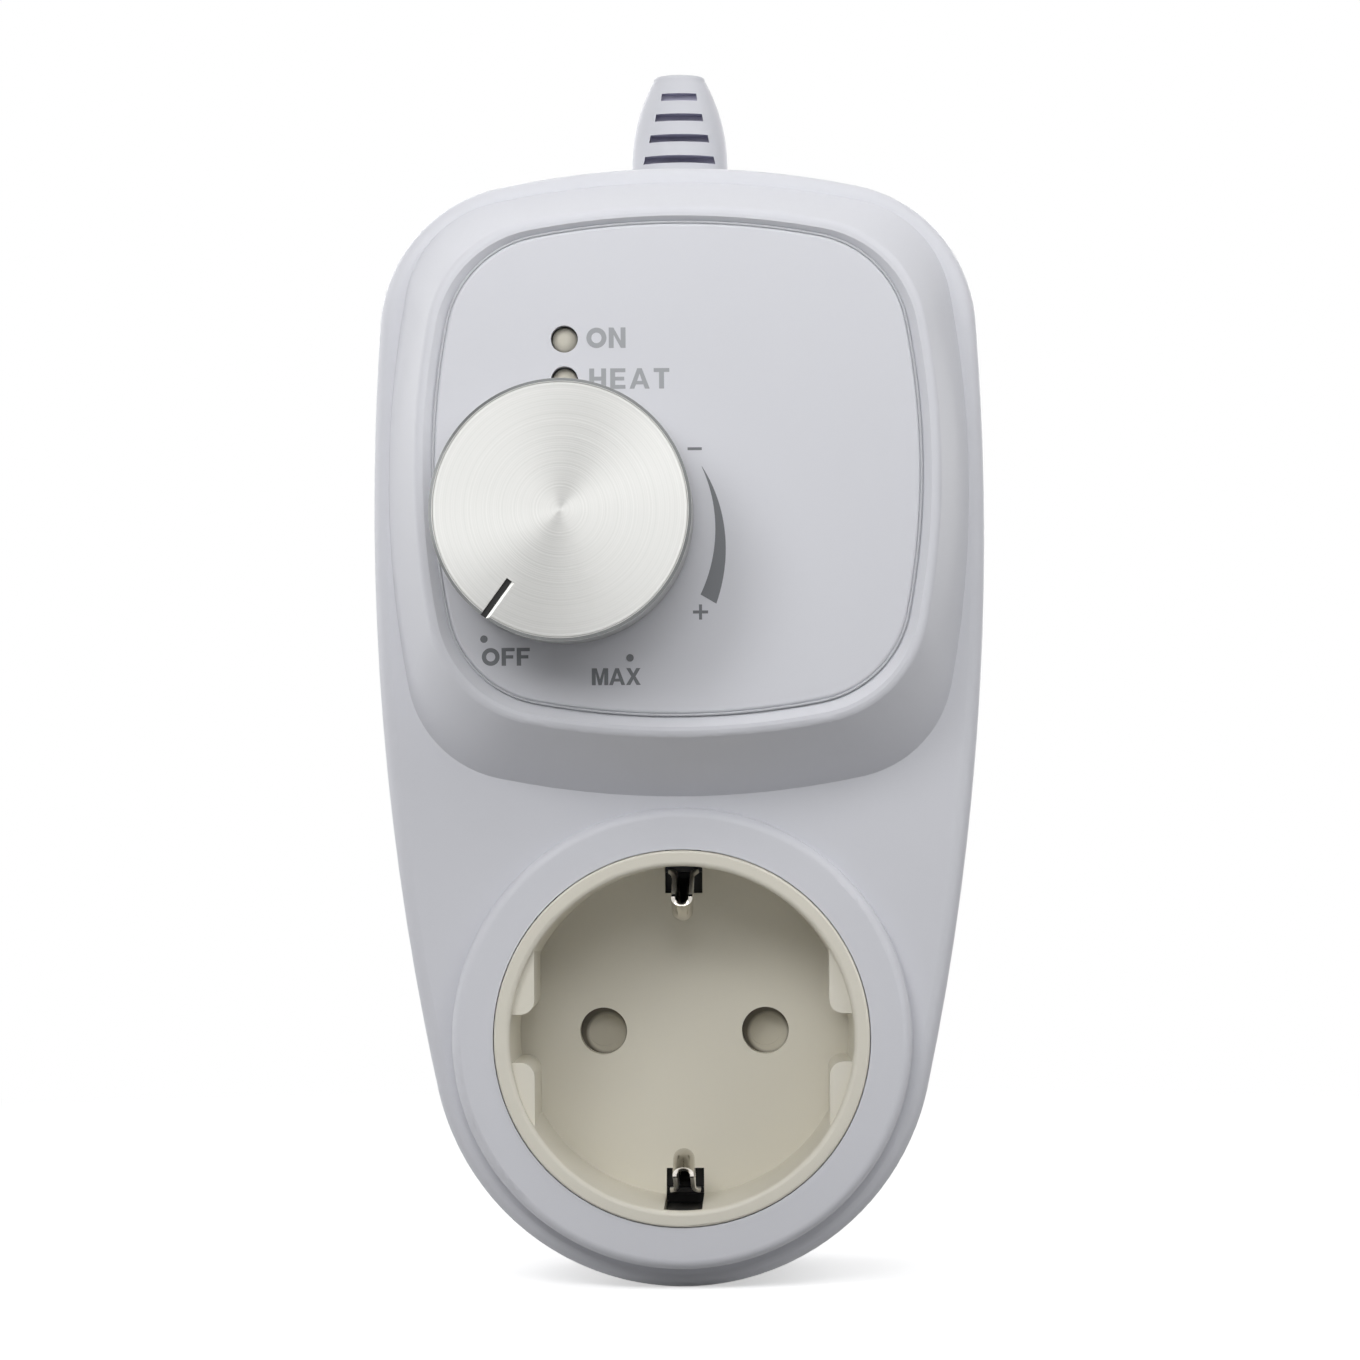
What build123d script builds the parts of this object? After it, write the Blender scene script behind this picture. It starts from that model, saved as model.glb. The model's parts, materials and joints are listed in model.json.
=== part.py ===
from build123d import *

import os
from math import asin, atan2, degrees, hypot, sqrt

# An infrared heater dimmer: a plug-in housing with an earthed socket, a power knob and two lamps.
# Millimetres. +X is right and +Z up, seen from the front, and the front faces -Y.
# The origin is the middle of the plug's end face, on the axis that plug and socket share.
# Every height is a distance forward of that face, so a height h lies at y = -h.

# Body outline, seen from the front
body_half_width = 34.9
widest_z = 58.5
body_top = 99.3
bottom_radius = 28.7
top_radius = 100.0
corner_radius = 17.0

# Heights of the main levels
plug_length = 16.0
parting_height = 35.0
ring_height = 55.0
hood_height = 64.3
deck_low = 51.5
deck_high = 57.0

# Shells
wall = 2.0
deck_edge_radius = 1.6
back_edge_radius = 2.5
seam_chamfer = 0.25
lip_height = 1.2
lip_gap = 0.1
screw_radius = 1.45
screw_gap = 0.05
screw_head_radius = 2.8
screw_head_height = 1.8
screw_length = 24.0
head_depth = 3.4
front_boss_radius = 3.2
back_boss_radius = 4.2
boss_merge = 0.4
pilot_spare = 1.0
screw_slot_width = 0.8
screw_slot_length = 3.2
upper_boss_z = 80.0
lower_boss_z = 26.0

# Raised hood
hood_side_margin = 1.8
hood_base_low = 27.6
hood_base_high = 97.6
hood_base_side_radius = 120.0
hood_base_cap_radius = 100.0
hood_base_corner = 13.0
hood_flank_run = 3.6
hood_crest_low = 34.5
hood_crest_high = 93.8
hood_crest_side_radius = 90.0
hood_crest_corner = 14.0
crest_radius = 0.9
panel_side_margin = 2.0
panel_low = 36.7
panel_high = 92.25
panel_side_radius = 86.0
panel_corner = 12.4
panel_thickness = 1.7
panel_sink = 0.3
panel_gap = 0.12
panel_edge_radius = 0.45
funnel_drop = 0.75
hood_wall = 1.8

# Socket ring and recess
ring_radius = 26.3
ring_edge_radius = 1.1
rim_radius = 21.45
rim_gap = 0.1
rim_proud = 0.3
rim_length = 1.6
recess_radius = 19.65
recess_depth = 17.5
recess_draft = 0.4
insert_wall = 1.6
insert_floor = 2.5
collar_wall = 2.0
collar_length = 10.0
flange_reach = 2.0
flange_thickness = 2.0
skirt_length = 2.0
contact_pitch = 19.0
contact_hole_radius = 2.75
guide_flat = 16.85
guide_gap = 5.5
guide_drop = 1.1
guide_corner_radius = 1.6
earth_slot_width = 4.4
earth_slot_start = 16.1
earth_slot_drop = 1.2

# Contact carrier, shutter and contacts
carrier_radius = 20.2
carrier_height = 14.0
lug_thickness = 0.8
lug_gap = 0.1
lug_root = 1.0
shutter_radius = 14.8
shutter_thickness = 1.6
shutter_gap = 0.25
shutter_travel = 38.0
shutter_post_radius = 2.0
shutter_dimple_radius = 1.9
shutter_dimple_depth = 0.4
shutter_hole_radius = 3.0
pivot_gap = 0.05
spring_radius = 1.0
spring_bore_radius = 0.6
spring_length = 6.0
spring_left = -4.0
spring_inset = 1.6
spring_gap = 0.3
spring_room = 0.6
anchor_width = 1.5
anchor_depth = 2.2
contact_gap = 0.35
contact_flange_radius = 4.3
contact_slit_depth = 8.0
tab_reach = 29.0
lead_reach = 28.0
contact_lead_radius = 0.9
carrier_post_x = 15.5
carrier_post_z = 8.0
carrier_post_radius = 2.2
bridge_screw_z = 11.0
bridge_screw_radius = 1.2
bridge_screw_head_radius = 2.2
bridge_screw_head_height = 1.3
bridge_screw_length = 10.0
contact_bore_radius = 2.45
contact_wall = 0.7
contact_slit = 0.6
strip_thickness = 0.6
tab_width = 3.0
bridge_width = 6.0
earth_arm_z = 18.6

# Earth clips: a folded strip whose crown leans towards the socket's axis
clip_sheet = 0.5
clip_crown_z = 13.1
clip_crown_width = 2.4
clip_foot_width = 4.1
clip_foot_length = 4.1
clip_root_gap = 0.3
clip_crown_rise = 10.5
clip_top_rise = 15.2
clip_start_rise = 0.4
clip_start_drop = 1.3
clip_floor_gap = 0.5
clip_floor_drop = 0.2
clip_crown_lead = 0.3
clip_lip_drop = 2.1
clip_cheek_depth = 0.8
clip_fold_radius = 3.0

# Plug
plug_radius = 18.6
plug_flat = 16.5
plug_rib_width = 4.8
plug_rib_sink = 0.3
plug_face_chamfer = 0.6
plug_bore_radius = 13.7
plug_face_thickness = 2.5
spigot_length = 3.5
spigot_gap = 0.1
pin_radius = 2.4
pin_length = 19.0
pin_gap = 0.03
pin_root_radius = 2.1
pin_flange_radius = 3.4
pin_flange_thickness = 1.2
pin_tail_radius = 1.2
pin_tail_length = 2.8
plug_earth_z = 15.9
plug_earth_width = 5.2
plug_earth_start = 0.9
plug_groove_width = 6.8
strap_x = 5.5
strap_z = 27.5
strap_width = 3.0

# Knob and potentiometer
knob_x = -12.6
knob_z = 59.2
knob_radius = 14.45
knob_height = 12.6
knob_lift = 0.9
knob_chamfer = 0.4
knob_wall = 1.4
knob_face = 2.0
pointer_start = 9.5
pointer_width = 0.75
pointer_depth = 0.6
pointer_angle = 36.0
knob_fit_gap = 0.1
insert_lift = 1.0
hub_radius = 5.2
hub_gap = 0.4
hub_rib_width = 1.2
hub_rib_count = 6
shaft_radius = 3.0
shaft_flat = 0.8
shaft_gap = 0.04
shaft_chamfer = 0.4
shaft_end_gap = 0.5
bush_proud = 0.4
bush_radius = 3.5
bush_hole_gap = 0.1
bush_flange_radius = 6.0
bush_flange_thickness = 0.8
nut_width = 10.0
nut_thickness = 2.0
washer_radius = 6.0
washer_thickness = 0.5
pot_radius = 8.2
pot_height = 7.0
pot_wall = 0.6
pot_clearance = 3.5
pot_block_width = 12.3
pot_block_depth = 2.6
pot_block_height = 1.2
pot_terminal_pitch = 5.0
pot_terminal_reach = 1.2
pot_terminal_width = 0.9
pot_terminal_thickness = 0.5
track_thickness = 0.8
track_gap = 0.1
track_margin = 1.0
wiper_gap = 0.3
wiper_thickness = 1.2
wiper_width = 2.0
wiper_margin = 1.4

# Lamps
lamp_x = -12.6
power_lamp_z = 79.1
run_lamp_z = 74.5
lamp_radius = 1.45
lamp_gap = 0.08
lamp_sink = 0.9
lamp_flange_radius = 1.8
lamp_length = 5.6
lead_radius = 0.25
lead_pitch = 2.54
lamp_dome_radius = 1.1
lamp_flange_height = 1.0
spacer_margin = 0.54

# Circuit board and what it carries
board_thickness = 1.6
board_gap = 0.6
board_low = 25.8
board_high = 92.0
board_corner = 3.0
board_post_radius = 2.6
board_post_x = 20.5
board_post_low = 40.5
board_post_high = 87.0
board_screw_radius = 1.1
board_screw_length = 8.0
board_screw_head_radius = 2.0
board_screw_head_height = 1.3
solder_gap = 0.1

# Components behind the board
heat_sink_inset = 0.08
heat_sink_base = 2.5
heat_sink_width = 9.0
heat_sink_low = 54.0
heat_sink_high = 82.0
heat_sink_drop = 24.0
heat_sink_fins = 6
heat_sink_fin = 1.4
triac_z = 69.0
triac_width = 10.0
triac_depth = 15.0
triac_thickness = 4.5
triac_drop = 5.5
triac_hole_drop = 12.0
triac_lead = 0.8
triac_screw_radius = 1.4
triac_screw_head = 2.6
choke_x = -9.0
choke_z = 62.5
choke_inner = 5.5
choke_outer = 11.0
choke_thickness = 7.0
choke_wire = 0.8
choke_turns = 16
capacitor_corner = 0.8
big_capacitor_x = -9.0
big_capacitor_z = 34.0
big_capacitor_width = 18.0
big_capacitor_height = 8.0
big_capacitor_depth = 15.0
small_capacitor_x = -4.0
small_capacitor_z = 84.0
small_capacitor_radius = 4.0
small_capacitor_depth = 12.0
fuse_left = 2.5
fuse_z = 33.5
fuse_length = 20.0
fuse_radius = 2.6
fuse_cap_length = 5.0
fuse_glass_wall = 0.4
varistor_x = 12.0
varistor_z = 46.0
varistor_radius = 5.0
varistor_thickness = 4.0
varistor_edge = 1.2
varistor_gap = 1.0
chip_x = 1.5
chip_z = 46.5
chip_width = 9.5
chip_height = 6.4
chip_thickness = 3.4
chip_leg_pitch = 2.54
chip_leg_length = 1.1
chip_leg_width = 0.5
chip_lift = 0.25
resistor_x = 5.5
resistor_low = 52.5
resistor_pitch = 7.5
resistor_count = 4
resistor_length = 6.0
resistor_radius = 1.1
terminal_x = 8.0
terminal_z = 86.5
terminal_width = 10.0
terminal_height = 8.0
terminal_depth = 10.0
terminal_screw_radius = 1.9
terminal_wire_radius = 1.2
terminal_wire_depth = 2.0

# Strain relief boot
boot_radius = 5.8
boot_length = 13.3
boot_tip_radius = 2.7
boot_bore_radius = 2.0
boot_hole_gap = 0.15
boot_straight = 1.5
boot_waist_drop = 0.6
boot_waist_rise = 8.0
boot_tip_round = 0.5
boot_flange_gap = 0.4
boot_flange_radius = 7.2
boot_flange_thickness = 1.5
boot_groove_count = 4
boot_groove_pitch = 2.5
boot_groove_height = 0.9
boot_groove_first = 3.0
boot_groove_reach = 3.95

# Places worked out from the sizes above
side_radius = (body_half_width**2 + widest_z**2 - bottom_radius**2) / (2 * (body_half_width - bottom_radius))
deck_slope = (deck_high - deck_low) / (body_top + bottom_radius)
hood_base_half_width = body_half_width - hood_side_margin
hood_crest_half_width = hood_base_half_width - hood_flank_run
panel_half_width = hood_crest_half_width - panel_side_margin
panel_height = hood_height - panel_sink
seat_height = panel_height - panel_thickness
ceiling_height = seat_height - hood_wall
rim_height = ring_height + rim_proud
floor_height = rim_height - recess_depth
under_floor = floor_height - insert_floor
floor_radius = recess_radius - recess_draft
hole_radius = rim_radius + rim_gap
collar_radius = hole_radius + collar_wall
collar_end = ring_height - collar_length
insert_radius = recess_radius + insert_wall
back_inside = plug_length + wall
contact_x = contact_pitch / 2
carrier_back = under_floor - carrier_height
shutter_height = under_floor - shutter_gap - shutter_thickness
pocket_height = shutter_height - shutter_gap
pot_top = ceiling_height - pot_clearance
board_front = pot_top - pot_height
board_height = board_front - board_thickness
head_seat = plug_length + head_depth
spigot_end = plug_face_thickness + spigot_length
tail_end = spigot_end + pin_flange_thickness + pin_tail_length
strap_low = spigot_end + pin_flange_thickness + strip_thickness / 2
strap_high = back_inside + strip_thickness
bridge_height = carrier_back - strip_thickness
clip_root = under_floor + clip_root_gap
clip_pivot_z = earth_arm_z + strip_thickness / 2
lug_inner = earth_arm_z + 3 * strip_thickness
knob_bottom = panel_height + knob_lift
knob_top = knob_bottom + knob_height
knob_roof = knob_top - knob_face
nut_bottom = panel_height + washer_thickness
bush_top = nut_bottom + nut_thickness + bush_proud
shaft_top = knob_roof - shaft_end_gap
lamp_top = panel_height - lamp_sink
lamp_bottom = lamp_top - lamp_length
solder_height = board_height - solder_gap


def level(height):
    """The plane at this height forward of the plug's face, drawn on from the front."""
    return Plane.XZ.offset(height)


def side_plane(x=0.0):
    """A plane seen from the left whose sketch coordinates are height and z."""
    return Plane(origin=(x, 0, 0), x_dir=(0, -1, 0), z_dir=(-1, 0, 0))


def deck_at(z):
    """Height of the sloping deck at this z."""
    return deck_low + deck_slope * (z + bottom_radius)


def half_width_at(z):
    """Half width of the body's outline at this z, below its rounded corners."""
    return body_half_width - side_radius + sqrt(side_radius**2 - (z - widest_z) ** 2)


def body_outline(inset=0.0):
    """Two long side arcs, a shallow top arc and a round bottom, all drawn in by inset."""
    centre = side_radius - body_half_width
    with Locations((0, body_top - top_radius)):
        Circle(top_radius - inset)
    with Locations((0, widest_z - side_radius)):
        Rectangle(2 * side_radius, 2 * side_radius)
    for side in (1, -1):
        with Locations((side * centre, widest_z)):
            Circle(side_radius - inset, mode=Mode.INTERSECT)
    fillet(vertices().sort_by(Axis.Y)[:1], bottom_radius - inset)
    fillet(vertices().sort_by(Axis.Y)[-2:], corner_radius - inset)


def soft_square(half_width, low, high, side, cap, corner):
    """A rounded square with gently bulging sides."""
    middle = (low + high) / 2
    with Locations((half_width - side, middle)):
        Circle(side)
    with Locations((side - half_width, middle)):
        Circle(side, mode=Mode.INTERSECT)
    with Locations((0, high - cap)):
        Circle(cap, mode=Mode.INTERSECT)
    with Locations((0, low + cap)):
        Circle(cap, mode=Mode.INTERSECT)
    fillet(vertices().sort_by(Axis.Y)[:2] + vertices().sort_by(Axis.Y)[-2:], corner)


def hood_base(inset=0.0):
    """Foot of the hood on the deck."""
    low = hood_base_low + inset
    high = hood_base_high - inset
    side = hood_base_side_radius - inset
    cap = hood_base_cap_radius - inset
    soft_square(hood_base_half_width - inset, low, high, side, cap, hood_base_corner - inset)


def hood_crest(inset=0.0):
    """Front edge of the hood's sloping flank."""
    low = hood_crest_low + inset
    high = hood_crest_high - inset
    side = hood_crest_side_radius - inset
    soft_square(hood_crest_half_width - inset, low, high, side, side, hood_crest_corner - inset)


def panel_outline(inset=0.0):
    """Edge of the inset front panel."""
    low = panel_low + inset
    high = panel_high - inset
    side = panel_side_radius - inset
    soft_square(panel_half_width - inset, low, high, side, side, panel_corner - inset)


def plug_outline():
    """Round plug with two side flats, a rib on each flat and a groove for each earth strip."""
    Circle(plug_radius)
    Rectangle(2 * plug_flat, 2 * plug_radius, mode=Mode.INTERSECT)
    Rectangle(2 * (plug_radius - plug_rib_sink), plug_rib_width)
    groove_floor = plug_earth_z - strip_thickness
    groove_depth = plug_radius - groove_floor + wall
    for side in (1, -1):
        with Locations((0, side * (groove_floor + groove_depth / 2))):
            Rectangle(plug_groove_width, groove_depth, mode=Mode.SUBTRACT)


def bent_strip(points, thickness):
    """A strip of sheet seen edge-on, folded at each point."""
    for (start_x, start_y), (end_x, end_y) in zip(points, points[1:]):
        run = hypot(end_x - start_x, end_y - start_y)
        turn = degrees(atan2(end_y - start_y, end_x - start_x))
        with Locations(((start_x + end_x) / 2, (start_y + end_y) / 2)):
            Rectangle(run + thickness, thickness, rotation=turn)


def ring_sector(inner, outer, start, size):
    """Part of a flat ring, from a start angle over a size, both in degrees."""
    with BuildLine() as border:
        inner_arc = CenterArc((0, 0), inner, start, size)
        outer_arc = CenterArc((0, 0), outer, start, size)
        Line(inner_arc @ 0, outer_arc @ 0)
        Line(inner_arc @ 1, outer_arc @ 1)
    make_face(border.edges())


deck_normal = (0, -1, -deck_slope)
deck_plane = Plane(origin=(0, -deck_at(0), 0), x_dir=(1, 0, 0), z_dir=deck_normal)

upper_boss_x = half_width_at(upper_boss_z) - wall - front_boss_radius + boss_merge
lower_boss_x = half_width_at(lower_boss_z) - wall - front_boss_radius + boss_merge
boss_spots = [
    (upper_boss_x, upper_boss_z),
    (-upper_boss_x, upper_boss_z),
    (lower_boss_x, lower_boss_z),
    (-lower_boss_x, lower_boss_z),
]
board_post_spots = [
    (board_post_x, board_post_low),
    (-board_post_x, board_post_low),
    (board_post_x, board_post_high),
    (-board_post_x, board_post_high),
]
lamp_spots = [(lamp_x, power_lamp_z), (lamp_x, run_lamp_z)]
lead_spots = [(x + side * lead_pitch / 2, z) for x, z in lamp_spots for side in (-1, 1)]
contact_spots = [(contact_x, 0), (-contact_x, 0)]
carrier_post_spots = [(x * carrier_post_x, z * carrier_post_z) for x in (1, -1) for z in (1, -1)]
bridge_screw_spots = [(0, bridge_screw_z), (0, -bridge_screw_z)]
board_half_width = lower_boss_x - front_boss_radius - board_gap
heat_sink_x = board_half_width - heat_sink_inset - heat_sink_width
heat_sink_z = (heat_sink_low + heat_sink_high) / 2
heat_sink_step = (heat_sink_high - heat_sink_low - heat_sink_fin) / (heat_sink_fins - 1)
triac_x = heat_sink_x - triac_thickness / 2
triac_hole_height = board_height - triac_drop - triac_hole_drop
choke_back = board_height - choke_wire - solder_gap
fuse_height = board_height - fuse_radius
boot_plane = Plane(origin=(0, -parting_height, body_top), x_dir=(1, 0, 0), z_dir=(0, 0, 1))
pot_terminal_z = knob_z - pot_radius - pot_terminal_reach
pot_terminal_spots = [(knob_x + side * pot_terminal_pitch, pot_terminal_z) for side in (-1, 0, 1)]
pot_floor = board_front + pot_wall
wiper_height = pot_floor + track_thickness + wiper_gap
spring_z = shutter_radius - spring_inset
anchor_x = spring_left + spring_length + lug_gap + anchor_width / 2
notch_radius = spring_z - spring_radius - spring_room
notch_start = -90 + degrees(asin((spring_left - 2 * spring_gap) / spring_z))
notch_end = -90 + degrees(asin((anchor_x + anchor_width) / spring_z)) + shutter_travel
tall = 2 * hood_height

# Space inside the front cover: what stays of the posts and the collar is left out of it
with BuildPart() as front_space:
    with BuildSketch(level(parting_height)):
        body_outline(wall)
    extrude(amount=hood_height - parting_height)
    split(bisect_by=deck_plane.offset(-wall), keep=Keep.BOTTOM)
    with BuildSketch(deck_plane.offset(-wall)):
        hood_base(wall)
    with BuildSketch(level(ceiling_height)):
        hood_crest(wall)
    loft()
    with BuildSketch(level(collar_end)):
        Circle(collar_radius)
    extrude(amount=hood_height - collar_end, mode=Mode.SUBTRACT)
    with BuildSketch(level(parting_height)):
        with Locations(*boss_spots):
            Circle(front_boss_radius)
    extrude(amount=hood_height - parting_height, mode=Mode.SUBTRACT)
    with BuildSketch(level(board_front)):
        with Locations(*board_post_spots):
            Circle(board_post_radius)
    extrude(amount=hood_height - board_front, mode=Mode.SUBTRACT)

# Front cover: sloping deck, raised hood and round socket ring
with BuildPart() as front_cover:
    with BuildSketch(level(parting_height)):
        body_outline()
    extrude(amount=hood_height - parting_height)
    split(bisect_by=deck_plane, keep=Keep.BOTTOM)
    fillet(edges().group_by(Axis.Y)[0] + faces().sort_by(Axis.Y)[0].edges(), deck_edge_radius)
    chamfer(faces().sort_by(Axis.Y)[-1].edges(), seam_chamfer)
    with BuildSketch(deck_plane):
        hood_base()
    with BuildSketch(level(hood_height)):
        hood_crest()
    loft()
    fillet(faces().sort_by(Axis.Y)[0].edges(), crest_radius)
    with BuildSketch(level(hood_height)):
        hood_crest(crest_radius)
    with BuildSketch(level(hood_height - funnel_drop)):
        panel_outline()
    loft(mode=Mode.SUBTRACT)
    with BuildSketch(level(parting_height)):
        Circle(ring_radius)
    extrude(amount=ring_height - parting_height)
    ring_edge = edges().filter_by(GeomType.CIRCLE).filter_by(lambda e: abs(e.radius - ring_radius) < rim_gap)
    fillet(ring_edge.sort_by(Axis.Y)[:1], ring_edge_radius)
    add(front_space.part, mode=Mode.SUBTRACT)
    with BuildSketch(level(parting_height)):
        body_outline(wall / 2 - lip_gap)
    extrude(amount=lip_height + lip_gap, mode=Mode.SUBTRACT)
    with BuildSketch(level(seat_height)):
        panel_outline()
    extrude(amount=tall, mode=Mode.SUBTRACT)
    with BuildSketch(level(parting_height)):
        Circle(hole_radius)
        with Locations((knob_x, knob_z)):
            Circle(bush_radius + bush_hole_gap)
        with Locations(*lamp_spots):
            Circle(lamp_radius + lamp_gap)
    extrude(amount=tall, mode=Mode.SUBTRACT)
    with BuildSketch(level(parting_height)):
        with Locations(*boss_spots):
            Circle(screw_radius + screw_gap)
    extrude(amount=head_seat + screw_length + pilot_spare - parting_height, mode=Mode.SUBTRACT)
    with BuildSketch(level(board_front)):
        with Locations(*board_post_spots):
            Circle(board_screw_radius + screw_gap)
    extrude(amount=board_screw_length, mode=Mode.SUBTRACT)
    with BuildSketch(boot_plane):
        Circle(boot_radius + boot_hole_gap)
    extrude(amount=-4 * wall, both=True, mode=Mode.SUBTRACT)

# Front panel: the inset plate in the hood that carries the marks
with BuildPart() as front_panel:
    with BuildSketch(level(seat_height)):
        panel_outline(panel_gap)
    extrude(amount=panel_thickness)
    fillet(faces().sort_by(Axis.Y)[0].edges(), panel_edge_radius)
    with BuildSketch(level(seat_height)):
        with Locations((knob_x, knob_z)):
            Circle(bush_radius + bush_hole_gap)
        with Locations(*lamp_spots):
            Circle(lamp_radius + lamp_gap)
    extrude(amount=panel_thickness, mode=Mode.SUBTRACT)

# Rear shell: tray with screw posts, carrier posts and the hollow plug skirt
with BuildPart() as rear_space:
    with BuildSketch(level(back_inside)):
        body_outline(wall)
    extrude(amount=parting_height + lip_height - back_inside)
    with BuildSketch(level(back_inside)):
        with Locations(*boss_spots):
            Circle(back_boss_radius)
    extrude(amount=parting_height + lip_height - back_inside, mode=Mode.SUBTRACT)
    with BuildSketch(level(back_inside)):
        with Locations(*carrier_post_spots):
            Circle(carrier_post_radius)
    extrude(amount=carrier_back - back_inside, mode=Mode.SUBTRACT)

with BuildPart() as rear_shell:
    with BuildSketch(level(plug_length)):
        body_outline()
    extrude(amount=parting_height - plug_length)
    fillet(faces().sort_by(Axis.Y)[-1].edges(), back_edge_radius)
    chamfer(faces().sort_by(Axis.Y)[0].edges(), seam_chamfer)
    with BuildSketch(level(parting_height)):
        body_outline(wall / 2)
    extrude(amount=lip_height)
    add(rear_space.part, mode=Mode.SUBTRACT)
    with BuildSketch(level(plug_face_thickness)):
        plug_outline()
    extrude(amount=plug_length - plug_face_thickness)
    with BuildSketch(level(plug_face_thickness)):
        Circle(plug_bore_radius)
    extrude(amount=back_inside - plug_face_thickness, mode=Mode.SUBTRACT)
    with BuildSketch(level(plug_length - wall)):
        for side in (1, -1):
            with Locations((0, side * (plug_earth_z - strip_thickness / 2))):
                Rectangle(plug_earth_width + 2 * pin_gap, strip_thickness + 2 * pin_gap)
    extrude(amount=3 * wall, mode=Mode.SUBTRACT)
    with BuildSketch(level(plug_length)):
        with Locations(*boss_spots):
            Circle(screw_radius + screw_gap)
    extrude(amount=parting_height, mode=Mode.SUBTRACT)
    with BuildSketch(level(plug_length)):
        with Locations(*boss_spots):
            Circle(screw_head_radius + 3 * screw_gap)
    extrude(amount=head_depth, mode=Mode.SUBTRACT)
    with BuildSketch(boot_plane):
        Circle(boot_radius + boot_hole_gap)
    extrude(amount=4 * wall, both=True, mode=Mode.SUBTRACT)

# Plug face: closes the skirt and holds the two pins
with BuildPart() as plug_face:
    with BuildSketch(level(0)):
        plug_outline()
    extrude(amount=plug_face_thickness)
    chamfer(faces().sort_by(Axis.Y)[-1].edges(), plug_face_chamfer)
    with BuildSketch(level(plug_face_thickness)):
        Circle(plug_bore_radius - spigot_gap)
    extrude(amount=spigot_length)
    with BuildSketch(level(0)):
        with Locations(*contact_spots):
            Circle(pin_root_radius + pin_gap)
    extrude(amount=spigot_end, mode=Mode.SUBTRACT)

# Plug pins: each sits on the plug face by its shoulder and is held by its flange inside
with BuildPart() as plug_pin_right:
    with BuildSketch(level(-pin_length)):
        with Locations((contact_x, 0)):
            Circle(pin_radius)
    extrude(amount=pin_length)
    fillet(faces().sort_by(Axis.Y)[-1].edges(), pin_radius / 2)
    with BuildSketch(level(0)):
        with Locations((contact_x, 0)):
            Circle(pin_root_radius)
    extrude(amount=spigot_end)
    with BuildSketch(level(spigot_end)):
        with Locations((contact_x, 0)):
            Circle(pin_flange_radius)
    extrude(amount=pin_flange_thickness)
    with BuildSketch(level(spigot_end)):
        with Locations((contact_x, 0)):
            Circle(pin_tail_radius)
    extrude(amount=tail_end - spigot_end)

with BuildPart() as plug_pin_left:
    mirror(plug_pin_right.part, about=Plane.YZ)

# Earth strips on the top and bottom of the plug, folded over inside the shell
with BuildPart() as plug_earth_top:
    strip_z = plug_earth_z - strip_thickness / 2
    foot_height = bridge_height - strip_thickness / 2
    strip_start = plug_earth_start + strip_thickness / 2
    strip_corners = [(strip_start, strip_z), (foot_height, strip_z), (foot_height, earth_arm_z)]
    with BuildSketch(side_plane()):
        bent_strip(strip_corners, strip_thickness)
    extrude(amount=plug_earth_width / 2, both=True)

with BuildPart() as plug_earth_bottom:
    mirror(plug_earth_top.part, about=Plane.XY)

# Straps from the pin tails up to the circuit board
with BuildPart() as live_strap:
    strap_reach = strap_x + strap_width / 2
    turn_z = sqrt((plug_bore_radius - 4 * spigot_gap) ** 2 - strap_reach**2) - strip_thickness / 2
    route = [(strap_low, 0), (strap_low, turn_z), (strap_high, turn_z), (strap_high, strap_z)]
    with BuildSketch(side_plane(-strap_x)):
        bent_strip(route + [(solder_height - strip_thickness / 2, strap_z)], strip_thickness)
    extrude(amount=strap_width / 2, both=True)
    with BuildSketch(level(strap_low - strip_thickness / 2)):
        with Locations((-(strap_x + contact_x) / 2, 0)):
            Rectangle(contact_x - strap_x + strap_width, strap_width)
    extrude(amount=strip_thickness)
    with BuildSketch(level(strap_low - strip_thickness)):
        with Locations((-contact_x, 0)):
            Circle(pin_tail_radius + pin_gap)
    extrude(amount=2 * strip_thickness, mode=Mode.SUBTRACT)

with BuildPart() as neutral_strap:
    mirror(live_strap.part, about=Plane.YZ)

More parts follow.
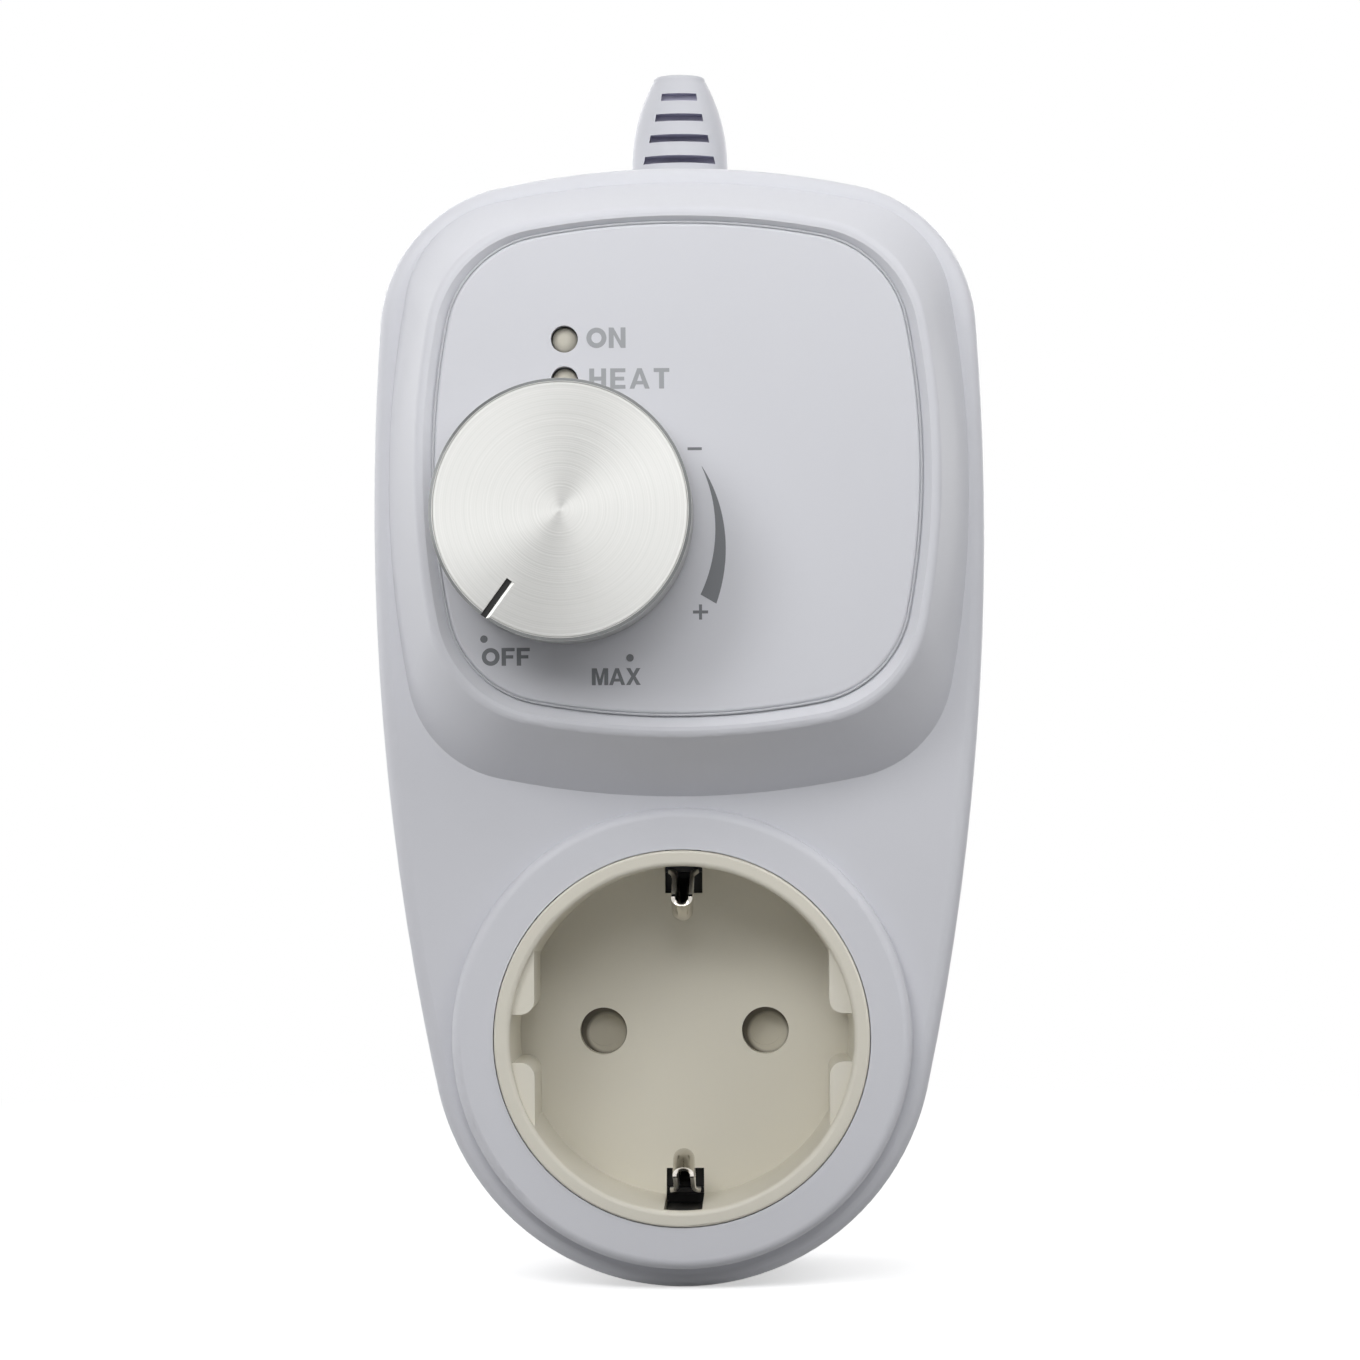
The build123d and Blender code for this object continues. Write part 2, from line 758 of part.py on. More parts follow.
# Socket insert: the recess that takes a plug
with BuildPart() as socket_insert:
    with BuildSketch(level(under_floor - skirt_length)):
        Circle(insert_radius)
    extrude(amount=rim_height - under_floor + skirt_length)
    with BuildSketch(level(rim_height - rim_length)):
        Circle(rim_radius)
    extrude(amount=rim_length)
    fillet(faces().sort_by(Axis.Y)[0].edges(), rim_proud)
    with BuildSketch(level(collar_end - flange_thickness)):
        Circle(insert_radius + flange_reach)
    extrude(amount=flange_thickness)
    with BuildSketch(level(floor_height)):
        Circle(floor_radius)
    with BuildSketch(level(rim_height)):
        Circle(recess_radius)
    loft(mode=Mode.SUBTRACT)
    mouth = edges().filter_by(GeomType.CIRCLE).filter_by(lambda e: abs(e.radius - recess_radius) < rim_gap)
    fillet(mouth.sort_by(Axis.Y)[:1], 2 * rim_proud)
    with BuildSketch(level(floor_height)):
        Circle(recess_radius)
        Rectangle(2 * guide_flat, 2 * recess_radius, mode=Mode.SUBTRACT)
        Rectangle(2 * recess_radius, guide_gap, mode=Mode.SUBTRACT)
        inner_corners = vertices().filter_by(lambda v: hypot(v.X, v.Y) < recess_radius - rim_gap)
        fillet(inner_corners.filter_by(lambda v: abs(v.Y) < guide_gap), guide_corner_radius)
    extrude(amount=recess_depth - guide_drop)
    with BuildSketch(level(under_floor - skirt_length)):
        Circle(carrier_radius + spigot_gap)
    extrude(amount=skirt_length, mode=Mode.SUBTRACT)
    with BuildSketch(level(under_floor)):
        with Locations(*contact_spots):
            Circle(contact_hole_radius)
    extrude(amount=insert_floor, mode=Mode.SUBTRACT)
    slot_end = insert_radius + lug_gap / 2
    with BuildSketch(level(under_floor - skirt_length)):
        for side in (1, -1):
            with Locations((0, side * (slot_end + earth_slot_start) / 2)):
                Rectangle(earth_slot_width, slot_end - earth_slot_start)
    extrude(amount=rim_height - earth_slot_drop - under_floor + skirt_length, mode=Mode.SUBTRACT)

# Contact carrier: black moulding behind the floor, with a lug in each earth pocket
with BuildPart() as contact_carrier:
    with BuildSketch(level(carrier_back)):
        Circle(carrier_radius)
    extrude(amount=carrier_height)
    with BuildSketch(level(pocket_height)):
        Circle(shutter_radius + 2 * shutter_gap)
        Circle(shutter_post_radius, mode=Mode.SUBTRACT)
        with Locations((anchor_x, -spring_z)):
            Rectangle(anchor_width, anchor_depth, mode=Mode.SUBTRACT)
    extrude(amount=under_floor - pocket_height, mode=Mode.SUBTRACT)
    with BuildSketch(level(carrier_back)):
        with Locations(*contact_spots):
            Circle(contact_bore_radius + contact_wall + contact_gap)
    extrude(amount=carrier_height, mode=Mode.SUBTRACT)
    with BuildSketch(level(carrier_back)):
        with Locations(*bridge_screw_spots):
            Circle(bridge_screw_radius + screw_gap)
    extrude(amount=bridge_screw_length, mode=Mode.SUBTRACT)
    with BuildSketch(level(carrier_back)):
        for side in (1, -1):
            with Locations((0, side * (earth_arm_z + strip_thickness / 2))):
                Rectangle(bridge_width + 2 * lug_gap, strip_thickness + 2 * lug_gap)
    extrude(amount=carrier_height, mode=Mode.SUBTRACT)
    lug_width = earth_slot_width - 2 * lug_gap
    for side in (1, -1):
        with BuildSketch(level(under_floor - 2 * skirt_length)):
            with Locations((0, side * (lug_inner + lug_thickness / 2 - lug_root / 2))):
                Rectangle(lug_width, lug_thickness + lug_root)
        extrude(amount=2 * skirt_length - 2 * lug_gap)
        with BuildSketch(level(under_floor - 2 * skirt_length)):
            with Locations((0, side * (lug_inner + lug_thickness / 2))):
                Rectangle(lug_width, lug_thickness)
        extrude(amount=rim_height - earth_slot_drop - lug_gap - under_floor + 2 * skirt_length)

# Shutter disc behind the contact holes, its spring notch left open for the full turn
with BuildPart() as shutter_disc:
    with BuildSketch(level(shutter_height)):
        Circle(shutter_radius)
        Circle(shutter_post_radius + pivot_gap, mode=Mode.SUBTRACT)
        with PolarLocations(contact_x, 2, start_angle=shutter_travel):
            Circle(shutter_hole_radius, mode=Mode.SUBTRACT)
    extrude(amount=shutter_thickness)
    with BuildSketch(level(shutter_height)):
        ring_sector(notch_radius, shutter_radius + spring_radius, notch_start, notch_end - notch_start)
    extrude(amount=shutter_thickness, mode=Mode.SUBTRACT)
    with BuildSketch(level(shutter_height + shutter_thickness - shutter_dimple_depth)):
        with Locations(*contact_spots):
            Circle(shutter_dimple_radius)
    extrude(amount=shutter_dimple_depth, mode=Mode.SUBTRACT)

# Shutter spring, close wound, lying in the notch
with BuildPart() as shutter_spring:
    spring_height = (pocket_height + under_floor) / 2
    with BuildSketch(Plane(origin=(spring_left, -spring_height, -spring_z), z_dir=(1, 0, 0))):
        Circle(spring_radius)
        Circle(spring_bore_radius, mode=Mode.SUBTRACT)
    extrude(amount=spring_length)

# Contacts: slit tubes that grip a plug's pins, each with a solder tab
with BuildPart() as neutral_contact:
    with BuildSketch(level(bridge_height)):
        with Locations((contact_x, 0)):
            Circle(contact_bore_radius + contact_wall)
    extrude(amount=pocket_height - spring_gap - bridge_height)
    with BuildSketch(level(bridge_height)):
        with Locations((contact_x, 0)):
            Circle(contact_flange_radius)
        with Locations((contact_x, tab_reach / 2)):
            Rectangle(tab_width, tab_reach)
    extrude(amount=strip_thickness)
    with BuildSketch(level(bridge_height)):
        with Locations((contact_x, 0)):
            Circle(contact_bore_radius)
    extrude(amount=carrier_height, mode=Mode.SUBTRACT)
    with BuildSketch(level(pocket_height - spring_gap)):
        with Locations((contact_x, 0)):
            Rectangle(contact_slit, 3 * contact_bore_radius)
            Rectangle(3 * contact_bore_radius, contact_slit)
    extrude(amount=-contact_slit_depth, mode=Mode.SUBTRACT)

with BuildPart() as live_contact:
    mirror(neutral_contact.part, about=Plane.YZ)

# Leads from the contacts' tabs up to the circuit board
with BuildPart() as contact_leads:
    with BuildSketch(level(carrier_back)):
        with Locations((contact_x, lead_reach), (-contact_x, lead_reach)):
            Circle(contact_lead_radius)
    extrude(amount=solder_height - carrier_back)

# Earth bridge: a strip under the carrier with an arm up to each clip
with BuildPart() as earth_bridge:
    arm_z = earth_arm_z + strip_thickness / 2
    arm_top = under_floor - strip_thickness / 2 - screw_gap
    base_height = bridge_height + strip_thickness / 2
    arm_corners = [(arm_top, arm_z), (base_height, arm_z), (base_height, -arm_z), (arm_top, -arm_z)]
    with BuildSketch(side_plane()):
        bent_strip(arm_corners, strip_thickness)
    extrude(amount=bridge_width / 2, both=True)
    with BuildSketch(level(bridge_height)):
        with Locations(*bridge_screw_spots):
            Circle(bridge_screw_radius + screw_gap)
    extrude(amount=strip_thickness, mode=Mode.SUBTRACT)

with BuildPart() as bridge_screws:
    with BuildSketch(level(bridge_height)):
        with Locations(*bridge_screw_spots):
            Circle(bridge_screw_radius)
    extrude(amount=bridge_screw_length)
    with BuildSketch(level(bridge_height)):
        with Locations(*bridge_screw_spots):
            Circle(bridge_screw_head_radius)
    extrude(amount=-bridge_screw_head_height)

# Earth clips: a folded channel whose crown bulges towards the axis, with two feet at its root
with BuildPart() as earth_clip_top:
    crown_start = (clip_root + clip_start_rise, earth_slot_start + clip_start_drop)
    crown_lift = (floor_height + clip_floor_gap + clip_root_gap, earth_slot_start + clip_floor_drop)
    crown_bulge = (clip_root + clip_crown_rise, clip_crown_z - clip_crown_lead)
    crown_end = (clip_root + clip_top_rise, clip_crown_z + clip_lip_drop)
    clip_back = clip_pivot_z + clip_sheet / 2
    with BuildSketch(side_plane()) as clip_side:
        with BuildLine():
            crown = FilletPolyline(crown_start, crown_lift, crown_bulge, crown_end, radius=clip_fold_radius)
            Polyline(
                crown @ 1,
                (clip_root + clip_top_rise, clip_crown_z + clip_lip_drop + clip_cheek_depth),
                (clip_root + clip_foot_length, clip_back),
                (clip_root, clip_back),
                (clip_root, earth_slot_start + clip_start_drop + clip_start_rise),
                crown @ 0,
            )
        make_face()
    extrude(amount=clip_crown_width / 2, both=True)
    with BuildSketch(side_plane()):
        with Locations((clip_root + clip_foot_length / 2, clip_pivot_z)):
            Rectangle(clip_foot_length, clip_sheet)
    extrude(amount=clip_foot_width / 2, both=True)
    with BuildSketch(side_plane()):
        add(clip_side.sketch_local.moved(Location((0, clip_sheet, 0))))
    extrude(amount=clip_crown_width / 2 - clip_sheet, both=True, mode=Mode.SUBTRACT)

with BuildPart() as earth_clip_bottom:
    mirror(earth_clip_top.part, about=Plane.XY)

# Case screws, driven from the back
with BuildPart() as case_screws:
    with BuildSketch(level(head_seat)):
        with Locations(*boss_spots):
            Circle(screw_radius)
    extrude(amount=screw_length)
    with BuildSketch(level(head_seat - screw_head_height)):
        with Locations(*boss_spots):
            Circle(screw_head_radius)
    extrude(amount=screw_head_height)
    with BuildSketch(level(head_seat - screw_head_height)):
        with Locations(*boss_spots):
            Rectangle(screw_slot_width, screw_slot_length)
            Rectangle(screw_slot_length, screw_slot_width)
    extrude(amount=screw_head_height / 2, mode=Mode.SUBTRACT)

# Strain relief boot, held by its flange inside the two shells
with BuildPart() as strain_relief_boot:
    flange_top = body_top - wall - boot_flange_gap
    tip_z = body_top + boot_length
    with BuildSketch(level(parting_height)):
        with BuildLine():
            flare = ThreePointArc(
                (boot_radius, body_top + boot_straight),
                (boot_radius - boot_waist_drop, body_top + boot_waist_rise),
                (boot_tip_radius + boot_tip_round, tip_z - boot_tip_round),
            )
            Polyline(
                flare @ 1,
                (boot_tip_radius, tip_z),
                (boot_bore_radius, tip_z),
                (boot_bore_radius, flange_top - boot_flange_thickness),
                (boot_flange_radius, flange_top - boot_flange_thickness),
                (boot_flange_radius, flange_top),
                (boot_radius, flange_top),
                flare @ 0,
            )
        make_face()
    revolve(axis=Axis((0, -parting_height, 0), (0, 0, 1)))
    for groove in range(boot_groove_count):
        groove_z = body_top + boot_groove_first + groove * boot_groove_pitch
        with BuildSketch(side_plane()):
            for side in (1, -1):
                with Locations((parting_height + side * (boot_groove_reach + boot_radius), groove_z)):
                    Rectangle(2 * boot_radius, boot_groove_height)
        extrude(amount=2 * boot_radius, both=True, mode=Mode.SUBTRACT)

# Potentiometer, standing on the board
with BuildPart() as pot_case:
    with BuildSketch(level(board_front)):
        with Locations((knob_x, knob_z)):
            Circle(pot_radius)
    extrude(amount=pot_height)
    with BuildSketch(level(pot_floor)):
        with Locations((knob_x, knob_z)):
            Circle(pot_radius - pot_wall)
    extrude(amount=pot_height - 2 * pot_wall, mode=Mode.SUBTRACT)
    with BuildSketch(level(pot_floor)):
        with Locations((knob_x, knob_z)):
            Circle(shaft_radius + shaft_gap)
    extrude(amount=pot_height, mode=Mode.SUBTRACT)
    with BuildSketch(level(pot_floor)):
        with Locations((knob_x, knob_z - pot_radius + pot_wall / 2 - pot_block_depth / 2)):
            Rectangle(pot_block_width, pot_block_depth)
    extrude(amount=pot_block_height)

with BuildPart() as pot_terminals:
    with BuildSketch(level(board_height - board_thickness)):
        with Locations(*pot_terminal_spots):
            Rectangle(pot_terminal_width, pot_terminal_thickness)
    extrude(amount=pot_floor - board_height + board_thickness)

with BuildPart() as pot_track:
    with BuildSketch(level(pot_floor)):
        with Locations((knob_x, knob_z)):
            Circle(pot_radius - pot_wall - track_gap)
            Circle(shaft_radius + track_margin, mode=Mode.SUBTRACT)
    extrude(amount=track_thickness)

with BuildPart() as pot_wiper:
    wiper_reach = pot_radius - pot_wall - shaft_radius - 4 * track_gap
    wiper_middle = shaft_radius + wiper_reach / 2
    with BuildSketch(level(wiper_height)):
        with Locations((knob_x, knob_z)):
            Circle(shaft_radius + wiper_margin)
            with PolarLocations(wiper_middle, 1, start_angle=-90 - pointer_angle):
                Rectangle(wiper_reach, wiper_width)
        with Locations((knob_x, knob_z)):
            Circle(shaft_radius + pin_gap, mode=Mode.SUBTRACT)
    extrude(amount=wiper_thickness)

with BuildPart() as pot_shaft:
    with BuildSketch(level(wiper_height)):
        with Locations((knob_x, knob_z)):
            Circle(shaft_radius)
    extrude(amount=shaft_top - wiper_height)
    chamfer(faces().sort_by(Axis.Y)[0].edges(), shaft_chamfer)
    with BuildSketch(level(bush_top + hub_gap / 2)):
        with Locations((knob_x, knob_z + 2 * shaft_radius - shaft_flat)):
            Rectangle(2 * shaft_radius, 2 * shaft_radius)
    extrude(amount=shaft_top - bush_top, mode=Mode.SUBTRACT)

with BuildPart() as pot_bush:
    with BuildSketch(level(pot_top)):
        with Locations((knob_x, knob_z)):
            Circle(bush_flange_radius)
    extrude(amount=bush_flange_thickness)
    with BuildSketch(level(pot_top)):
        with Locations((knob_x, knob_z)):
            Circle(bush_radius)
    extrude(amount=bush_top - pot_top)
    with BuildSketch(level(pot_top)):
        with Locations((knob_x, knob_z)):
            Circle(shaft_radius + shaft_gap)
    extrude(amount=bush_top - pot_top, mode=Mode.SUBTRACT)

with BuildPart() as pot_washer:
    with BuildSketch(level(panel_height)):
        with Locations((knob_x, knob_z)):
            Circle(washer_radius)
            Circle(bush_radius + screw_gap, mode=Mode.SUBTRACT)
    extrude(amount=washer_thickness)

with BuildPart() as pot_nut:
    with BuildSketch(level(nut_bottom)):
        with Locations((knob_x, knob_z)):
            RegularPolygon(nut_width / 2, 6, major_radius=False)
            Circle(bush_radius + screw_gap, mode=Mode.SUBTRACT)
    extrude(amount=nut_thickness)

# Knob: a turned shell on a ribbed insert that grips the shaft
with BuildPart() as knob_shell:
    pointer_end = knob_radius + pointer_width
    with BuildSketch(level(knob_bottom)):
        with Locations((knob_x, knob_z)):
            Circle(knob_radius)
    extrude(amount=knob_height)
    chamfer(faces().sort_by(Axis.Y)[0].edges(), knob_chamfer)
    with BuildSketch(level(knob_bottom)):
        with Locations((knob_x, knob_z)):
            Circle(knob_radius - knob_wall)
    extrude(amount=knob_roof - knob_bottom, mode=Mode.SUBTRACT)
    with BuildSketch(level(knob_top)):
        with Locations((knob_x, knob_z)):
            with PolarLocations((pointer_start + pointer_end) / 2, 1, start_angle=-90 - pointer_angle):
                Rectangle(pointer_end - pointer_start, pointer_width)
    extrude(amount=-pointer_depth, mode=Mode.SUBTRACT)

with BuildPart() as knob_insert:
    insert_bottom = knob_bottom + insert_lift
    insert_reach = knob_radius - knob_wall - knob_fit_gap
    hub_bottom = bush_top + hub_gap
    with BuildSketch(level(insert_bottom)):
        with Locations((knob_x, knob_z)):
            Circle(insert_reach)
    extrude(amount=knob_roof - insert_bottom)
    with BuildSketch(level(insert_bottom)):
        with Locations((knob_x, knob_z)):
            Circle(insert_reach - hub_rib_width)
    extrude(amount=knob_roof - hub_rib_width - insert_bottom, mode=Mode.SUBTRACT)
    with BuildSketch(level(hub_bottom)):
        with Locations((knob_x, knob_z)):
            Circle(hub_radius)
            with PolarLocations(insert_reach / 2, hub_rib_count):
                Rectangle(insert_reach - hub_rib_width / 2, hub_rib_width)
    extrude(amount=knob_roof - hub_bottom)
    with BuildSketch(level(hub_bottom)):
        with Locations((knob_x, knob_z)):
            Circle(shaft_radius + shaft_gap)
        with Locations((knob_x, knob_z + 2 * shaft_radius - shaft_flat + shaft_gap)):
            Rectangle(2 * shaft_radius, 2 * shaft_radius, mode=Mode.SUBTRACT)
    extrude(amount=shaft_top + shaft_gap - hub_bottom, mode=Mode.SUBTRACT)

# Lamps, their leads and the block that holds them up
with BuildPart() as power_lamp:
    with BuildSketch(level(lamp_bottom)):
        with Locations((lamp_x, power_lamp_z)):
            Circle(lamp_radius)
    extrude(amount=lamp_length)
    fillet(faces().sort_by(Axis.Y)[0].edges(), lamp_dome_radius)
    with BuildSketch(level(lamp_bottom)):
        with Locations((lamp_x, power_lamp_z)):
            Circle(lamp_flange_radius)
    extrude(amount=lamp_flange_height)

with BuildPart() as run_lamp:
    with BuildSketch(level(lamp_bottom)):
        with Locations((lamp_x, run_lamp_z)):
            Circle(lamp_radius)
    extrude(amount=lamp_length)
    fillet(faces().sort_by(Axis.Y)[0].edges(), lamp_dome_radius)
    with BuildSketch(level(lamp_bottom)):
        with Locations((lamp_x, run_lamp_z)):
            Circle(lamp_flange_radius)
    extrude(amount=lamp_flange_height)

with BuildPart() as lamp_spacer:
    spacer_width = 2 * (lamp_flange_radius + spacer_margin)
    with BuildSketch(level(board_front)):
        with Locations((lamp_x, (power_lamp_z + run_lamp_z) / 2)):
            Rectangle(spacer_width, power_lamp_z - run_lamp_z + spacer_width)
        with Locations(*lead_spots):
            Circle(lead_radius + pin_gap, mode=Mode.SUBTRACT)
    extrude(amount=lamp_bottom - board_front)

with BuildPart() as lamp_leads:
    with BuildSketch(level(board_height - board_thickness)):
        with Locations(*lead_spots):
            Circle(lead_radius)
    extrude(amount=lamp_bottom - board_height + board_thickness)

# Circuit board
with BuildPart() as circuit_board:
    with BuildSketch(level(board_height)):
        with Locations((0, (board_low + board_high) / 2)):
            RectangleRounded(2 * board_half_width, board_high - board_low, board_corner)
        with Locations(*board_post_spots):
            Circle(board_screw_radius + screw_gap, mode=Mode.SUBTRACT)
        with Locations(*lead_spots):
            Circle(lead_radius + pin_gap, mode=Mode.SUBTRACT)
        with Locations(*pot_terminal_spots):
            hole_width = pot_terminal_width + 2 * pin_gap
            hole_height = pot_terminal_thickness + 2 * pin_gap
            Rectangle(hole_width, hole_height, mode=Mode.SUBTRACT)
    extrude(amount=board_thickness)

with BuildPart() as board_screws:
    with BuildSketch(level(board_height)):
        with Locations(*board_post_spots):
            Circle(board_screw_radius)
    extrude(amount=board_screw_length)
    with BuildSketch(level(board_height)):
        with Locations(*board_post_spots):
            Circle(board_screw_head_radius)
    extrude(amount=-board_screw_head_height)

# Heat sink with the triac screwed to it
with BuildPart() as heat_sink:
    with BuildSketch(level(board_height)):
        with Locations((heat_sink_x + heat_sink_base / 2, heat_sink_z)):
            Rectangle(heat_sink_base, heat_sink_high - heat_sink_low)
        with Locations((heat_sink_x + heat_sink_width / 2, heat_sink_z)):
            with GridLocations(1, heat_sink_step, 1, heat_sink_fins):
                Rectangle(heat_sink_width, heat_sink_fin)
    extrude(amount=-heat_sink_drop)
    with BuildSketch(side_plane(heat_sink_x)):
        with Locations((triac_hole_height, triac_z)):
            Circle(triac_screw_radius + screw_gap)
    extrude(amount=-2 * heat_sink_width, mode=Mode.SUBTRACT)

with BuildPart() as triac:
    with BuildSketch(level(board_height - triac_drop)):
        with Locations((triac_x, triac_z)):
            Rectangle(triac_thickness, triac_width)
    extrude(amount=-triac_depth)
    with BuildSketch(level(board_height - triac_drop)):
        with Locations((triac_x, triac_z)):
            with GridLocations(1, lead_pitch, 1, 3):
                Rectangle(triac_lead, triac_lead)
    extrude(amount=triac_drop)
    with BuildSketch(side_plane(heat_sink_x)):
        with Locations((triac_hole_height, triac_z)):
            Circle(triac_screw_radius + screw_gap)
    extrude(amount=triac_thickness, mode=Mode.SUBTRACT)

with BuildPart() as triac_screw:
    with BuildSketch(side_plane(heat_sink_x - triac_thickness)):
        with Locations((triac_hole_height, triac_z)):
            Circle(triac_screw_radius)
    extrude(amount=-triac_thickness - 2 * heat_sink_base)
    with BuildSketch(side_plane(heat_sink_x - triac_thickness)):
        with Locations((triac_hole_height, triac_z)):
            Circle(triac_screw_head)
    extrude(amount=triac_screw_radius)

# Choke: a ring core wound all round
with BuildPart() as choke_core:
    with BuildSketch(level(choke_back)):
        with Locations((choke_x, choke_z)):
            Circle(choke_outer)
            Circle(choke_inner, mode=Mode.SUBTRACT)
    extrude(amount=-choke_thickness)
    fillet(edges(), choke_wire)

with BuildPart() as choke_winding:
    turn_width = choke_outer - choke_inner
    with BuildSketch(level(board_height - solder_gap)):
        with Locations((choke_x, choke_z)):
            with PolarLocations((choke_outer + choke_inner) / 2, choke_turns):
                Rectangle(turn_width + 2 * choke_wire, choke_wire)
    extrude(amount=-choke_thickness - 2 * choke_wire)
    with BuildSketch(level(choke_back)):
        with Locations((choke_x, choke_z)):
            Circle(choke_outer)
            Circle(choke_inner, mode=Mode.SUBTRACT)
    extrude(amount=-choke_thickness, mode=Mode.SUBTRACT)

# Capacitors
with BuildPart() as suppression_capacitor:
    with BuildSketch(level(board_height)):
        with Locations((big_capacitor_x, big_capacitor_z)):
            RectangleRounded(big_capacitor_width, big_capacitor_height, capacitor_corner)
    extrude(amount=-big_capacitor_depth)

with BuildPart() as supply_capacitor:
    with BuildSketch(level(board_height)):
        with Locations((small_capacitor_x, small_capacitor_z)):
            Circle(small_capacitor_radius)
    extrude(amount=-small_capacitor_depth)
    fillet(edges(), capacitor_corner)

# Fuse: a glass tube in two metal caps
with BuildPart() as fuse_glass:
    with BuildSketch(side_plane(fuse_left + fuse_glass_wall)):
        with Locations((fuse_height, fuse_z)):
            Circle(fuse_radius - fuse_glass_wall)
            Circle(fuse_radius - 2 * fuse_glass_wall, mode=Mode.SUBTRACT)
    extrude(amount=-fuse_length + 2 * fuse_glass_wall)

with BuildPart() as fuse_caps:
    with BuildSketch(side_plane(fuse_left)):
        with Locations((fuse_height, fuse_z)):
            Circle(fuse_radius)
    extrude(amount=-fuse_length)
    with BuildSketch(side_plane(fuse_left + fuse_cap_length)):
        with Locations((fuse_height, fuse_z)):
            Circle(2 * fuse_radius)
    extrude(amount=-fuse_length + 2 * fuse_cap_length, mode=Mode.SUBTRACT)
    with BuildSketch(side_plane(fuse_left + fuse_glass_wall)):
        with Locations((fuse_height, fuse_z)):
            Circle(fuse_radius - fuse_glass_wall)
    extrude(amount=-fuse_length + 2 * fuse_glass_wall, mode=Mode.SUBTRACT)

# Varistor, chip, resistors and the terminal for the sensor lead
with BuildPart() as varistor:
    with BuildSketch(side_plane(varistor_x)):
        with Locations((board_height - varistor_radius - varistor_gap, varistor_z)):
            Circle(varistor_radius)
    extrude(amount=-varistor_thickness)
    fillet(edges(), varistor_edge)
    with BuildSketch(level(board_height - varistor_radius)):
        with Locations((varistor_x + varistor_thickness / 2, varistor_z)):
            with GridLocations(1, 2 * lead_pitch, 1, 2):
                Circle(lead_radius)
    extrude(amount=varistor_radius)

with BuildPart() as control_chip:
    with BuildSketch(level(board_height - chip_lift)):
        with Locations((chip_x, chip_z)):
            Rectangle(chip_width, chip_height)
    extrude(amount=-chip_thickness)
    with BuildSketch(level(board_height)):
        with Locations((chip_x, chip_z)):
            with GridLocations(chip_leg_pitch, chip_height + chip_leg_length, 4, 2):
                Rectangle(chip_leg_width, chip_leg_length + solder_gap)
    extrude(amount=-chip_thickness / 2)

with BuildPart() as resistors:
    for row in range(resistor_count):
        foot = (resistor_x, resistor_radius - board_height, resistor_low + row * resistor_pitch)
        with BuildSketch(Plane(origin=foot)):
            Circle(resistor_radius)
        extrude(amount=resistor_length)
    fillet(edges().filter_by(GeomType.CIRCLE), lead_radius)

with BuildPart() as sensor_terminal:
    with BuildSketch(level(board_height)):
        with Locations((terminal_x, terminal_z)):
            Rectangle(terminal_width, terminal_height)
    extrude(amount=-terminal_depth)
    with BuildSketch(level(board_height - terminal_depth)):
        with Locations((terminal_x, terminal_z)):
            with GridLocations(terminal_width / 2, 1, 2, 1):
                Circle(terminal_screw_radius)
    extrude(amount=terminal_depth / 2, mode=Mode.SUBTRACT)
    with BuildSketch(Plane(origin=(terminal_x, terminal_wire_depth - board_height, terminal_z))):
        with GridLocations(terminal_width / 2, 1, 2, 1):
            Circle(terminal_wire_radius)
    extrude(amount=terminal_height, mode=Mode.SUBTRACT)

# Written pieces
pieces = {
    "front_cover": front_cover,
    "front_panel": front_panel,
    "rear_shell": rear_shell,
    "plug_face": plug_face,
    "plug_pin_left": plug_pin_left,
    "plug_pin_right": plug_pin_right,
    "plug_earth_top": plug_earth_top,
    "plug_earth_bottom": plug_earth_bottom,
    "live_strap": live_strap,
    "neutral_strap": neutral_strap,
    "socket_insert": socket_insert,
    "contact_carrier": contact_carrier,
    "shutter_disc": shutter_disc,
    "shutter_spring": shutter_spring,
    "live_contact": live_contact,
    "neutral_contact": neutral_contact,
    "contact_leads": contact_leads,
    "earth_bridge": earth_bridge,
    "bridge_screws": bridge_screws,
    "earth_clip_top": earth_clip_top,
    "earth_clip_bottom": earth_clip_bottom,
    "case_screws": case_screws,
    "strain_relief_boot": strain_relief_boot,
    "pot_case": pot_case,
    "pot_terminals": pot_terminals,
    "pot_track": pot_track,
    "pot_wiper": pot_wiper,
    "pot_shaft": pot_shaft,
    "pot_bush": pot_bush,
    "pot_washer": pot_washer,
    "pot_nut": pot_nut,
    "knob_shell": knob_shell,
    "knob_insert": knob_insert,
    "power_lamp": power_lamp,
    "run_lamp": run_lamp,
    "lamp_spacer": lamp_spacer,
    "lamp_leads": lamp_leads,
    "circuit_board": circuit_board,
    "board_screws": board_screws,
    "heat_sink": heat_sink,
    "triac": triac,
    "triac_screw": triac_screw,
    "choke_core": choke_core,
    "choke_winding": choke_winding,
    "suppression_capacitor": suppression_capacitor,
    "supply_capacitor": supply_capacitor,
    "fuse_glass": fuse_glass,
    "fuse_caps": fuse_caps,
    "varistor": varistor,
    "control_chip": control_chip,
    "resistors": resistors,
    "sensor_terminal": sensor_terminal,
}
os.makedirs("parts", exist_ok=True)
for name, piece in pieces.items():
    piece.part.label = name
    export_step(piece.part, f"parts/{name}.step")
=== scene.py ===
# %% [markdown]
# # The looks of an infrared heater dimmer
# The object is a plug-in dimmer: a pale moulded housing with an earthed socket below, a raised hood
# above, and on the hood a flat panel with a turned aluminium knob and two small lamps.
# The CAD frame already holds every piece at its real size. This lesson dresses that frame: it sets up
# the camera and the light, gives each piece a procedural finish, and models the fine pieces that are
# easier in Blender, such as the printed dial marks.
#
# Everything is in metres and in the frame of the CAD: +X is right, +Z is up and the front faces -Y.

import json
import math

import bmesh
import bpy
from mathutils import Matrix, Vector


